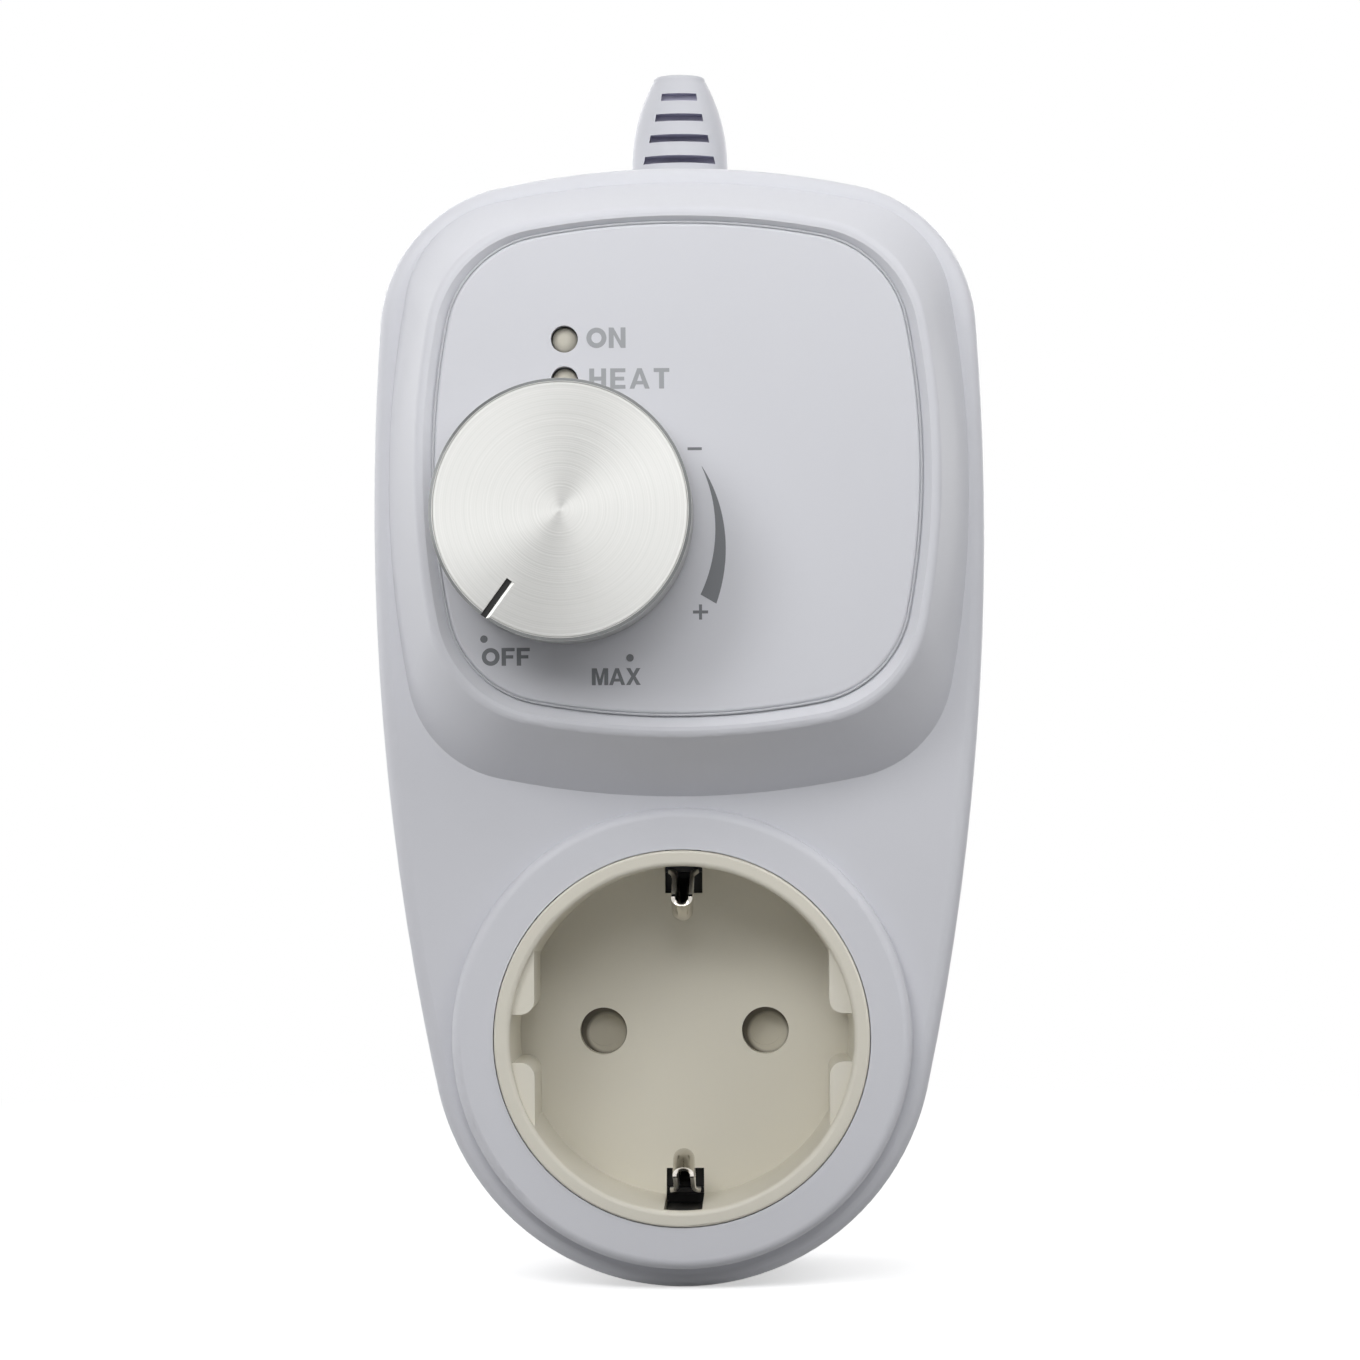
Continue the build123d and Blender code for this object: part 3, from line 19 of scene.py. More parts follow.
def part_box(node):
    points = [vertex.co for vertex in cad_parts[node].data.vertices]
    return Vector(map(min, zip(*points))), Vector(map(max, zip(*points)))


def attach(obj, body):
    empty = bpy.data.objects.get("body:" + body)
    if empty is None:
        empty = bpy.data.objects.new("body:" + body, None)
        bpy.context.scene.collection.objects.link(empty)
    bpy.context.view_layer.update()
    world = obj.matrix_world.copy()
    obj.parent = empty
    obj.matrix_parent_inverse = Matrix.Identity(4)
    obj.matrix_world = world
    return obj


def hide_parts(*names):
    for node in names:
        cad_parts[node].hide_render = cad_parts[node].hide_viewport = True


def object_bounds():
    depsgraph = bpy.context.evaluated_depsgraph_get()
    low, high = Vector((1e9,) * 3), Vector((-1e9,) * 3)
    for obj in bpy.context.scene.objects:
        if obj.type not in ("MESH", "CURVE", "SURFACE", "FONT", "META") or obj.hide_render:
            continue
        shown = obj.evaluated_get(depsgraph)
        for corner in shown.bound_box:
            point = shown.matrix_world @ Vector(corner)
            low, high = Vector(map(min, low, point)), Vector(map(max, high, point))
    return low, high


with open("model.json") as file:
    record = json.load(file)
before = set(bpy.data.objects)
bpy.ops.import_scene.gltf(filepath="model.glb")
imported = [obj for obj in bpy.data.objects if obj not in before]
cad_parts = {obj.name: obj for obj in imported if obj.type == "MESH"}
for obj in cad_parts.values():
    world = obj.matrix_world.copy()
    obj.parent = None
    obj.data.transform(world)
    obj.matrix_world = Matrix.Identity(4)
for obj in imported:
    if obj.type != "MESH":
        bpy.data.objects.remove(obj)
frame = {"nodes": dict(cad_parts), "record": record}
cad_low, cad_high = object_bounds()
nodes = frame["nodes"]
MM = 0.001
print("nodes in the frame:", len(nodes))
print("size in mm:", [round(x / MM, 1) for x in cad_high - cad_low])

# %% [markdown]
# ## Camera
# The photograph was taken from a little over half a metre with a long lens, nearly straight on. The
# two lamp holes, the socket's rim and the knob's face lie at different depths, so their places in the
# picture give the camera's distance. The rotation is built from three small turns, which keeps each
# of them readable: yaw to the left, pitch upwards, and a slight roll.

# %% Camera
CAMERA_PLACE = (10.4 * MM, -605 * MM, 30.1 * MM)
PICTURE_SIZE = 1360
FOCAL_PIXELS = 4823
SENSOR_WIDTH = 36
YAW_LEFT = math.radians(1.08)
PITCH_UP = math.radians(1.12)
ROLL_RIGHT = math.radians(0.33)


def show(name, data):
    """An object with this data, put into the scene."""
    thing = bpy.data.objects.new(name, data)
    bpy.context.scene.collection.objects.link(thing)
    return thing


camera_data = bpy.data.cameras.new("camera")
camera_data.sensor_width = SENSOR_WIDTH
camera_data.lens = FOCAL_PIXELS * SENSOR_WIDTH / PICTURE_SIZE
camera_data.clip_start = 0.05
camera_data.clip_end = 20
camera = show("camera", camera_data)
turn = Matrix.Rotation(YAW_LEFT, 4, "Z") @ Matrix.Rotation(math.pi / 2 + PITCH_UP, 4, "X")
turn = turn @ Matrix.Rotation(-ROLL_RIGHT, 4, "Z")
camera.matrix_world = Matrix.Translation(CAMERA_PLACE) @ turn
bpy.context.scene.camera = camera
print("lens in mm:", round(camera_data.lens, 1))

# %% [markdown]
# ## Nodes as arithmetic
# The world, the finishes and the turned pieces are node trees. Here a Flow stands for what comes out of
# a node. Arithmetic and comparisons on flows add Math nodes to their tree, so a tree is written as the
# formula that it works out. The other helpers add a node and feed its inputs in one line.

# %% Flows


class Flow:
    """What comes out of a node. Arithmetic on it adds Math nodes to the same tree."""

    def __init__(self, socket):
        self.socket = socket
        self.tree = socket.id_data

    def __add__(self, other):
        return calculate("ADD", self, other)

    def __sub__(self, other):
        return calculate("SUBTRACT", self, other)

    def __rsub__(self, other):
        return calculate("SUBTRACT", other, self)

    def __mul__(self, other):
        return calculate("MULTIPLY", self, other)

    def __truediv__(self, other):
        return calculate("DIVIDE", self, other)

    def __pow__(self, other):
        return calculate("POWER", self, other)

    def __gt__(self, other):
        return calculate("GREATER_THAN", self, other)

    def __lt__(self, other):
        return calculate("LESS_THAN", self, other)

    def __abs__(self):
        return calculate("ABSOLUTE", self)

    def __neg__(self):
        return calculate("MULTIPLY", self, -1.0)


def feed(socket, value):
    """Links a flow to an input, or gives the input a fixed value."""
    if isinstance(value, Flow):
        value.tree.links.new(value.socket, socket)
    else:
        socket.default_value = value


def set_inputs(node, **inputs):
    """Feeds a node's inputs; an underscore in a name stands for a space."""
    for label, value in inputs.items():
        feed(node.inputs[label.replace("_", " ")], value)


def add_node(tree, kind, settings=None, **inputs):
    """A node with its settings and inputs."""
    node = tree.nodes.new(kind)
    for label, value in (settings or {}).items():
        setattr(node, label, value)
    set_inputs(node, **inputs)
    return node


def flow(tree, kind, settings=None, output=0, **inputs):
    """A new node's output as a flow."""
    return Flow(add_node(tree, kind, settings, **inputs).outputs[output])


def flows(sockets):
    """Flows by the names of their sockets."""
    return {socket.name: Flow(socket) for socket in sockets}


def tree_of(*values):
    """The tree of the first flow among the values."""
    return next(value.tree for value in values if isinstance(value, Flow))


def calculate(operation, *values):
    """A Math node on flows and numbers, at least one of them a flow."""
    node = add_node(tree_of(*values), "ShaderNodeMath", {"operation": operation})
    for socket, value in zip(node.inputs, values):
        feed(socket, value)
    return Flow(node.outputs[0])


def clamped(value):
    """The value held between 0 and 1."""
    return calculate("MINIMUM", calculate("MAXIMUM", value, 0.0), 1.0)


def distance(first, second):
    """The length of a line that reaches this far along two axes."""
    return calculate("SQRT", first * first + second * second)


def axes_of(vector):
    """The X, Y and Z of a vector."""
    return [Flow(socket) for socket in add_node(vector.tree, "ShaderNodeSeparateXYZ", Vector=vector).outputs]


def vector_math(operation, first, second=None, output=0):
    """A Vector Math node on a flow and, where it takes one, a second vector."""
    node = add_node(first.tree, "ShaderNodeVectorMath", {"operation": operation}, Vector=first)
    if second is not None:
        feed(node.inputs[1], second)
    return Flow(node.outputs[output])


def object_place(tree):
    """The Object coordinates, which stay on their piece when it moves."""
    return flow(tree, "ShaderNodeTexCoord", output="Object")


def true_normal(tree):
    """The surface's normal."""
    return flow(tree, "ShaderNodeNewGeometry", output="Normal")


def mix_shaders(share, first, second):
    """The first shader where the share is 0, the second where it is 1."""
    node = add_node(share.tree, "ShaderNodeMixShader", Fac=share)
    feed(node.inputs[1], first)
    feed(node.inputs[2], second)
    return Flow(node.outputs[0])


print("node helpers ready")

# %% [markdown]
# ## Light
# The dimmer was lit by large soft sources, brightest from above. Wide area lamps give the same slow
# gradients on the pale plastic, and soft shadows under the knob and inside the socket. A weak world
# light fills what the lamps don't reach. The camera and mirror-like surfaces see a white world, but
# that white doesn't light the object.

# %% Lamps
AIM = Vector((0, -45 * MM, 45 * MM))
SOFT_BOXES = {
    "centre_box": ((0.0, -0.36, 0.18), 0.12, 0.20),
    "wide_box": ((0.0, -0.26, 0.20), 0.24, 0.11),
    "left_box": ((-0.14, -0.30, 0.20), 0.12, 0.31),
    "right_high": ((0.24, -0.22, 0.26), 0.24, 0.43),
    "over": ((0.0, -0.04, 0.30), 0.24, 0.15),
    "left_side": ((-0.40, 0.05, 0.12), 0.30, 0.62),
    "right_side": ((0.40, 0.05, 0.12), 0.30, 0.14),
    "back_left": ((-0.30, 0.60, 0.36), 0.45, 1.9),
    "back_right": ((0.30, 0.60, 0.20), 0.45, 1.6),
}
AMBIENT = 0.01

for name, (place, size, power) in SOFT_BOXES.items():
    data = bpy.data.lights.new(name, "AREA")
    data.shape = "SQUARE"
    data.size = size
    data.energy = power
    lamp = show(name, data)
    lamp.location = place
    lamp.rotation_euler = (AIM - Vector(place)).to_track_quat("-Z", "Y").to_euler()
    lamp.visible_camera = False
bpy.context.scene.view_settings.view_transform = "Standard"
print("soft boxes:", len(SOFT_BOXES))

# %% World
WHITE = (1, 1, 1, 1)

world = bpy.data.worlds.new("studio")
bpy.context.scene.world = world
world.use_nodes = True
sky = world.node_tree
sky.nodes.clear()


def seen_mask(tree):
    """1 for rays that show the surroundings, in the picture or in a mirror; 0 for rays that carry light."""
    ray = flows(tree.nodes.new("ShaderNodeLightPath").outputs)
    shown = calculate("MAXIMUM", ray["Is Camera Ray"], ray["Is Glossy Ray"])
    shown = calculate("MAXIMUM", shown, ray["Is Transmission Ray"])
    return shown - calculate("MINIMUM", ray["Diffuse Depth"], 1.0)


fill = flow(sky, "ShaderNodeBackground", Color=WHITE, Strength=AMBIENT)
white = flow(sky, "ShaderNodeBackground", Color=WHITE, Strength=1.0)
add_node(sky, "ShaderNodeOutputWorld", Surface=mix_shaders(seen_mask(sky), fill, white))
print("world fill:", AMBIENT)

# %% [markdown]
# ## Floor
# A pale floor under the lowest point. Near the object, half of what the camera sees of it is white of
# its own and half is lit plaster, so it keeps the object's soft shadow. Further out it fades into the
# white of the world, so no horizon shows. From below it is clear, so that the underside can be looked
# at.

# %% Floor
FLOOR_SIZE = 6.0
FLOOR_LIT = (0.86, 0.86, 0.86, 1)
FLOOR_DIM = (0.4, 0.4, 0.4, 1)
FLOOR_GLOW = (0.55, 0.55, 0.55, 1)
SHADOW_REACH = 0.16
SHADOW_END = 0.30

floor_mesh = bpy.data.meshes.new("floor")
form = bmesh.new()
bmesh.ops.create_grid(form, x_segments=1, y_segments=1, size=FLOOR_SIZE / 2)
bmesh.ops.translate(form, verts=form.verts, vec=(0, 0, cad_low.z))
form.to_mesh(floor_mesh)
form.free()
floor = show("floor", floor_mesh)

plaster = bpy.data.materials.new("pale_plaster")
plaster.use_nodes = True
tree = plaster.node_tree
tree.nodes.clear()
own_and_lit = tree.nodes.new("ShaderNodeAddShader")
feed(own_and_lit.inputs[0], flow(tree, "ShaderNodeBsdfDiffuse", Color=FLOOR_LIT))
feed(own_and_lit.inputs[1], flow(tree, "ShaderNodeEmission", Color=FLOOR_GLOW))
fade = flow(
    tree,
    "ShaderNodeMapRange",
    {"interpolation_type": "SMOOTHSTEP"},
    "Result",
    Value=vector_math("LENGTH", object_place(tree), output="Value"),
    From_Min=SHADOW_REACH,
    From_Max=SHADOW_END,
)
faded = mix_shaders(fade, Flow(own_and_lit.outputs[0]), flow(tree, "ShaderNodeEmission", Color=WHITE))
seen = mix_shaders(seen_mask(tree), flow(tree, "ShaderNodeBsdfDiffuse", Color=FLOOR_DIM), faded)
below = flow(tree, "ShaderNodeNewGeometry", output="Backfacing")
one_sided = mix_shaders(below, seen, flow(tree, "ShaderNodeBsdfTransparent"))
add_node(tree, "ShaderNodeOutputMaterial", Surface=one_sided)
floor_mesh.materials.append(plaster)
print("floor at z in mm:", round(cad_low.z / MM, 1))

# %% [markdown]
# ## Shared surface effects
# Moulded plastic is never one flat colour: its skin has a fine spark-eroded grain, the mass is a touch
# uneven, and corners that hands rub are polished lighter. The same three effects serve most of the
# pieces here, so each is made once as a shader node group and used with other sizes in each material.
# The groups hand out colours, values and normals only, and every material keeps its own shader.

# %% Group helpers
PALE = (0.8, 0.8, 0.8, 1)
WORN = (0.9, 0.9, 0.9, 1)
DUST = (0.55, 0.53, 0.5, 1)


def kind_of(value):
    """The kind of socket for a number, a vector, a colour, a material or an object."""
    if isinstance(value, tuple):
        return "Vector" if len(value) == 3 else "Color"
    name = type(value).__name__
    return {"float": "Float", "int": "Int"}.get(name, name)


def new_tree(name, kind, inputs, outputs):
    """A node group; gives it, its inputs as flows by name, and its output node."""
    tree = bpy.data.node_groups.new(name, kind)
    for label, value in inputs.items():
        socket_type = "NodeSocket" + kind_of(value)
        socket = tree.interface.new_socket(name=label, in_out="INPUT", socket_type=socket_type)
        if not isinstance(value, bpy.types.ID):
            socket.default_value = value
    for label, output_kind in outputs.items():
        tree.interface.new_socket(name=label, in_out="OUTPUT", socket_type="NodeSocket" + output_kind)
    start = tree.nodes.new("NodeGroupInput")
    return tree, flows(start.outputs), tree.nodes.new("NodeGroupOutput")


def noise(place, scale, detail):
    """A noise texture's value at this place."""
    return flow(place.tree, "ShaderNodeTexNoise", output="Fac", Vector=place, Scale=scale, Detail=detail)


def bump(height, strength, distance):
    """A normal bent by a height."""
    return flow(height.tree, "ShaderNodeBump", Height=height, Strength=strength, Distance=distance)


def swayed(colour, wave, amount):
    """A colour made a little lighter and darker by a noise."""
    scale = (wave - 0.5) * amount + 1.0
    return flow(wave.tree, "ShaderNodeVectorMath", {"operation": "SCALE"}, Vector=colour, Scale=scale)


def mix_colour(mask, first, second):
    """The first colour where the mask is 0, the second where it is 1."""
    node = add_node(mask.tree, "ShaderNodeMix", {"data_type": "RGBA"}, Factor=mask)
    feed(node.inputs[6], first)
    feed(node.inputs[7], second)
    return Flow(node.outputs[2])


print("helpers ready")

# %% Moulded skin
CLOUD_SCALE = 45.0
GRIT = 0.08
RELIEF = 0.02 * MM

skin_group, given, end = new_tree(
    "moulded_skin",
    "ShaderNodeTree",
    {"Colour": PALE, "Grain scale": 2600.0, "Grain depth": 0.12, "Unevenness": 0.03, "Roughness": 0.4},
    {"Colour": "Color", "Roughness": "Float", "Normal": "Vector"},
)
place = object_place(skin_group)
grain = noise(place, given["Grain scale"], 3)
set_inputs(
    end,
    Colour=swayed(given["Colour"], noise(place, CLOUD_SCALE, 4), given["Unevenness"]),
    Roughness=given["Roughness"] + grain * GRIT,
    Normal=bump(grain, given["Grain depth"], RELIEF),
)
print("group:", skin_group.name)

# %% Rubbed edges
EDGE_RADIUS = 0.5 * MM
EDGE_GAIN = 3.0
EDGE_PATCHES = 220.0

edge_group, given, end = new_tree(
    "rubbed_edges",
    "ShaderNodeTree",
    {"Colour": PALE, "Worn colour": WORN, "Amount": 0.3},
    {"Colour": "Color"},
)
rounded = flow(edge_group, "ShaderNodeBevel", {"samples": 4}, Radius=EDGE_RADIUS)
agree = vector_math("DOT_PRODUCT", rounded, true_normal(edge_group), "Value")
patches = noise(object_place(edge_group), EDGE_PATCHES, 5)
rubbed = calculate("MINIMUM", (1.0 - agree) * EDGE_GAIN * patches * given["Amount"], 1.0)
set_inputs(end, Colour=mix_colour(rubbed, given["Colour"], given["Worn colour"]))
print("group:", edge_group.name)

# %% Settled dust
SPECK_SCALE = 900.0

dust_group, given, end = new_tree(
    "settled_dust",
    "ShaderNodeTree",
    {"Colour": PALE, "Dust colour": DUST, "Amount": 0.1},
    {"Colour": "Color"},
)
upward = calculate("MAXIMUM", axes_of(true_normal(dust_group))[2], 0.0)
laid = upward * noise(object_place(dust_group), SPECK_SCALE, 6) * given["Amount"]
set_inputs(end, Colour=mix_colour(laid, given["Colour"], given["Dust colour"]))
print("group:", dust_group.name)

# %% [markdown]
# ## Plastics
# All the mouldings share one recipe: a base colour, the skin group for grain and unevenness, rubbed
# edges a shade lighter, and a little dust on what faces up. A function builds the material from a
# handful of numbers, so the housing, the cream insert and the black inner pieces differ only in those.

# %% Plastic recipe
EDGE_WEAR = 0.25
PLASTIC_SPECULAR = 0.3


def srgb(red, green, blue):
    """A colour written as it looks on a screen, 0 to 255, turned into the linear values of a shader."""
    linear = []
    for value in (red, green, blue):
        share = value / 255
        linear.append(share / 12.92 if share <= 0.04045 else ((share + 0.055) / 1.055) ** 2.4)
    return (*linear, 1)


def use_group(tree, group, **inputs):
    """A group's outputs as flows by name."""
    return flows(add_node(tree, "ShaderNodeGroup", {"node_tree": group}, **inputs).outputs)


def start_material(name):
    """A material with a Principled shader and nothing else."""
    material = bpy.data.materials.new(name)
    material.use_nodes = True
    tree = material.node_tree
    tree.nodes.clear()
    shader = tree.nodes.new("ShaderNodeBsdfPrincipled")
    add_node(tree, "ShaderNodeOutputMaterial", Surface=Flow(shader.outputs[0]))
    return material, tree, shader


def plastic(name, colour, worn, roughness, dust=0.08, **grain):
    """Moulded plastic with grain, rubbed edges and a little dust."""
    material, tree, shader = start_material(name)
    skin = use_group(tree, skin_group, Colour=srgb(*colour), Roughness=roughness, **grain)
    edges = use_group(tree, edge_group, Colour=skin["Colour"], Worn_colour=srgb(*worn), Amount=EDGE_WEAR)
    top = use_group(tree, dust_group, Colour=edges["Colour"], Amount=dust)
    set_inputs(shader, Base_Color=top["Colour"], Roughness=skin["Roughness"], Normal=skin["Normal"])
    set_inputs(shader, Specular_IOR_Level=PLASTIC_SPECULAR)
    return material


# name: colour, colour of the rubbed edges, roughness
PLASTICS = {
    "white_plastic": ((220, 221, 227), (228, 229, 233), 0.38),
    "panel_plastic": ((219, 220, 226), (230, 231, 235), 0.34),
    "cream_plastic": ((229, 225, 212), (236, 233, 222), 0.36),
    "black_plastic": ((28, 28, 28), (60, 60, 60), 0.45),
    "shutter_plastic": ((204, 199, 184), (212, 207, 194), 0.4),
    "boot_rubber": ((208, 209, 215), (218, 219, 224), 0.5),
    "terminal_green": ((38, 122, 66), (70, 150, 96), 0.42),
    "yellow_case": ((222, 176, 46), (232, 196, 92), 0.35),
    "resin": ((34, 33, 35), (70, 68, 68), 0.5),
    "can_sleeve": ((32, 44, 74), (70, 84, 118), 0.3),
    "resistor_coat": ((196, 176, 132), (212, 196, 160), 0.4),
    "board_laminate": ((30, 96, 58), (150, 160, 110), 0.32),
}
finishes = {name: plastic(name, *look) for name, look in PLASTICS.items()}
finishes["blue_coat"] = plastic("blue_coat", (40, 84, 160), (80, 120, 190), 0.35, Unevenness=0.12)
finishes["ferrite"] = plastic("ferrite", (52, 52, 56), (96, 96, 100), 0.6, Unevenness=0.2)
finishes["lamp_lens"] = plastic("lamp_lens", (206, 202, 188), (216, 213, 202), 0.22, Grain_depth=0.02)
print("plastics:", sorted(finishes))

# %% [markdown]
# ## Metals and glass
# The clips and pins are nickel plated, the contacts are brass, and screws are zinc plated steel. Each
# shows fine drawn lines along its length and slightly dulled patches. One recipe holds for all: a noise
# stretched along one axis for the lines, another for the dull patches, both only through colour,
# roughness and bump. The fuse's glass tube is clear and a little smeared.

# %% Metal recipe
LINE_SCALE = 1800.0
LINE_STRETCH = (1, 0.04, 1)
LINE_SHADE = 0.16
LINE_BUMP = 0.05
DULL_SCALE = 160.0
SMEAR_SCALE = 300.0
SMEAR = 0.12


def metal(name, colour, roughness, dull=0.18):
    """Drawn or rolled metal with fine lines and dull patches."""
    material, tree, shader = start_material(name)
    place = object_place(tree)
    lines = noise(flow(tree, "ShaderNodeMapping", Vector=place, Scale=LINE_STRETCH), LINE_SCALE, 3)
    set_inputs(
        shader,
        Base_Color=swayed(srgb(*colour)[:3], lines, LINE_SHADE),
        Roughness=noise(place, DULL_SCALE, 4) * dull + roughness,
        Normal=bump(lines, LINE_BUMP, RELIEF),
        Metallic=1.0,
    )
    return material


# name: colour, roughness
METALS = {
    "bare_brass": ((206, 170, 98), 0.28),
    "zinc_steel": ((196, 198, 200), 0.3),
    "pot_metal": ((188, 188, 186), 0.34),
    "tinned_wire": ((208, 208, 206), 0.28),
    "sink_aluminium": ((190, 192, 194), 0.36),
    "copper_wire": ((190, 104, 66), 0.3),
    "fuse_metal": ((204, 202, 196), 0.22),
}
finishes["nickel"] = metal("nickel", (206, 202, 194), 0.1, dull=0.14)
for name, look in METALS.items():
    finishes[name] = metal(name, *look)

glass, tree, shader = start_material("fuse_tube")
set_inputs(
    shader,
    Roughness=noise(object_place(tree), SMEAR_SCALE, 3) * SMEAR,
    Base_Color=srgb(236, 240, 240),
    Transmission_Weight=1.0,
)
finishes["fuse_tube"] = glass
print("metals and glass added, finishes now:", len(finishes))

# %% [markdown]
# ## Painted shade on the shutter and the bridge's arms
# Two finishes change with the place on the piece. The shutter behind the contact holes is painted darker
# outside a round spot a little below and to the right of each hole's middle: painted shade of the hole's
# edge, which leaves that spot lit.
# The brass bridge carries the earth clips, and its two arms are painted black as painted shade for the
# deep earth pockets, so only black shows in them. Both are masks of Object coordinates, so they stay on
# their piece when it moves.

# %% Place masks
HOLE_X = 9.5 * MM
SPOT_OFFSET = (0.35 * MM, -0.35 * MM)
LIT_SPOT_RADIUS = 2.1 * MM
SPOT_BLUR = 0.45 * MM
SHADED_ARM_FROM = 14.8 * MM


def recolour(tree, mask, colour):
    """Gives a finish another colour where the mask is 1; gives its shader."""
    shader = next(node for node in tree.nodes if node.type == "BSDF_PRINCIPLED")
    base = shader.inputs["Base Color"]
    feed(base, mix_colour(mask, Flow(base.links[0].from_socket), srgb(*colour)))
    return shader


tree = finishes["shutter_plastic"].node_tree
across, _, upwards = axes_of(object_place(tree))
aside = abs(across - SPOT_OFFSET[0]) - HOLE_X
away = distance(aside, upwards - SPOT_OFFSET[1])
# painted shade: the shutter is darker outside a lit round spot in each hole, as the hole's edge shades it
recolour(tree, clamped((away - LIT_SPOT_RADIUS) / SPOT_BLUR), (106, 100, 88))

# painted shade: the bridge's arms are black past this height, where they show in the deep earth pockets
shaded_arms = metal("lacquered_brass", (206, 170, 98), 0.28)
tree = shaded_arms.node_tree
in_pocket_shade = abs(axes_of(object_place(tree))[2]) > SHADED_ARM_FROM
set_inputs(recolour(tree, in_pocket_shade, (16, 16, 16)), Metallic=1.0 - in_pocket_shade)
print("place masks on: shutter_plastic,", shaded_arms.name)

# %% [markdown]
# ## Turned aluminium
# The knob's face was cut on a lathe. The tool leaves fine rings, and rings scatter light across
# themselves and not along, which is why the face shows a bright bow tie that stands still while the
# knob turns. Blender's shader does that with anisotropy along a radial tangent. Its small rotation is
# fitted to where the photograph shows the bright wedges; a turned face has no such twist. The rings
# themselves are a bump made from the distance to the knob's axis.

# %% Knob metal
RING_PITCH = 0.19 * MM
RING_BUMP = 0.4
RING_RELIEF = 0.016 * MM
RING_SHADE = 0.2

knob_low, knob_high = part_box("knob_shell")
knob_centre = (knob_low + knob_high) / 2
turned, tree, shader = start_material("knob_aluminium")
off_axis = vector_math("SUBTRACT", object_place(tree), (knob_centre.x, 0, knob_centre.z))
reach = vector_math("LENGTH", vector_math("MULTIPLY", off_axis, (1, 0, 1)), output="Value")
rings = flow(
    tree,
    "ShaderNodeTexNoise",
    {"noise_dimensions": "1D"},
    "Fac",
    W=reach * (1 / RING_PITCH),
    Scale=1.0,
    Detail=2,
)
set_inputs(
    shader,
    Base_Color=swayed(srgb(176, 176, 174)[:3], rings, RING_SHADE),
    Normal=bump(rings, RING_BUMP, RING_RELIEF),
    Tangent=flow(tree, "ShaderNodeTangent", {"direction_type": "RADIAL", "axis": "Y"}),
    Metallic=1.0,
    Roughness=0.48,
    Anisotropic=0.7,
    Anisotropic_Rotation=0.045,
)
finishes["knob_aluminium"] = turned
print("finishes now:", len(finishes))

# %% [markdown]
# ## Dressing the frame
# The record says which material slot each CAD node takes, and each finish above has a slot's name. So
# the nodes are dressed by looking the name up, and a node without a finish would stop the script.

# %% Dressing
slot_of = {row["node"]: row["material_slot"] for row in frame["record"]["subparts"]}
for name, node in nodes.items():
    node.data.materials.clear()
    node.data.materials.append(finishes[slot_of[name]])
# the bridge takes the brass whose black arms paint the shade in the earth pockets
nodes["earth_bridge"].data.materials[0] = shaded_arms
print("dressed nodes:", len(nodes))

# %% [markdown]
# ## Turning with Geometry Nodes
# The knob, the screws and the cable boot are all turned forms: an outline swept round an axis. One
# helper builds such a lathe in a Geometry Nodes tree. It wraps a flat grid round the axis, so that one
# side of the grid runs along the outline and the other goes round. The outline is a list of runs, each
# with how far it goes outwards and how far along the axis. Every run gets the same number of steps, so
# each corner falls on a line of the grid. Sizes are named inputs of the tree, and the result becomes a
# plain mesh.

# %% Geometry node helpers
MERGE = 1e-7
WELD = 1e-6
SHARP_FROM = math.radians(32)


def geometry_tree(name, inputs):
    """A Geometry Nodes tree with these named inputs; gives it, their flows and its output node."""
    return new_tree(name, "GeometryNodeTree", inputs, {"Geometry": "Geometry"})


def vector_of(x=0.0, y=0.0, z=0.0):
    """A vector from flows and numbers, at least one of them a flow."""
    return flow(tree_of(x, y, z), "ShaderNodeCombineXYZ", X=x, Y=y, Z=z)


def position_axes(tree):
    """The position of a point or face as three flows."""
    return axes_of(flow(tree, "GeometryNodeInputPosition"))


def moved(geometry, **inputs):
    """The geometry moved, turned or scaled."""
    return flow(geometry.tree, "GeometryNodeTransform", Geometry=geometry, **inputs)


def placed_points(geometry, **inputs):
    """The geometry with each point at another position, or shifted by an offset."""
    return flow(geometry.tree, "GeometryNodeSetPosition", Geometry=geometry, **inputs)


def joined(*parts):
    """Several geometries as one."""
    node = parts[0].tree.nodes.new("GeometryNodeJoinGeometry")
    for part in parts:
        feed(node.inputs[0], part)
    return Flow(node.outputs[0])


def cut(body, cutter):
    """The body less the cutter."""
    settings = {"operation": "DIFFERENCE", "solver": "EXACT"}
    return flow(body.tree, "GeometryNodeMeshBoolean", settings, "Mesh", Mesh_1=body, Mesh_2=cutter)


def box(x, y, z):
    """A box with these sides round the origin."""
    size = vector_of(x, y, z)
    return flow(size.tree, "GeometryNodeMeshCube", Size=size)


def eased(share, ease):
    """A share from 0 to 1 bent by a power, or to a quarter of a circle."""
    if ease == "sine":
        return calculate("SINE", share * (math.pi / 2))
    if ease == "cosine":
        return 1.0 - calculate("COSINE", share * (math.pi / 2))
    return share if ease == 1 else share**ease


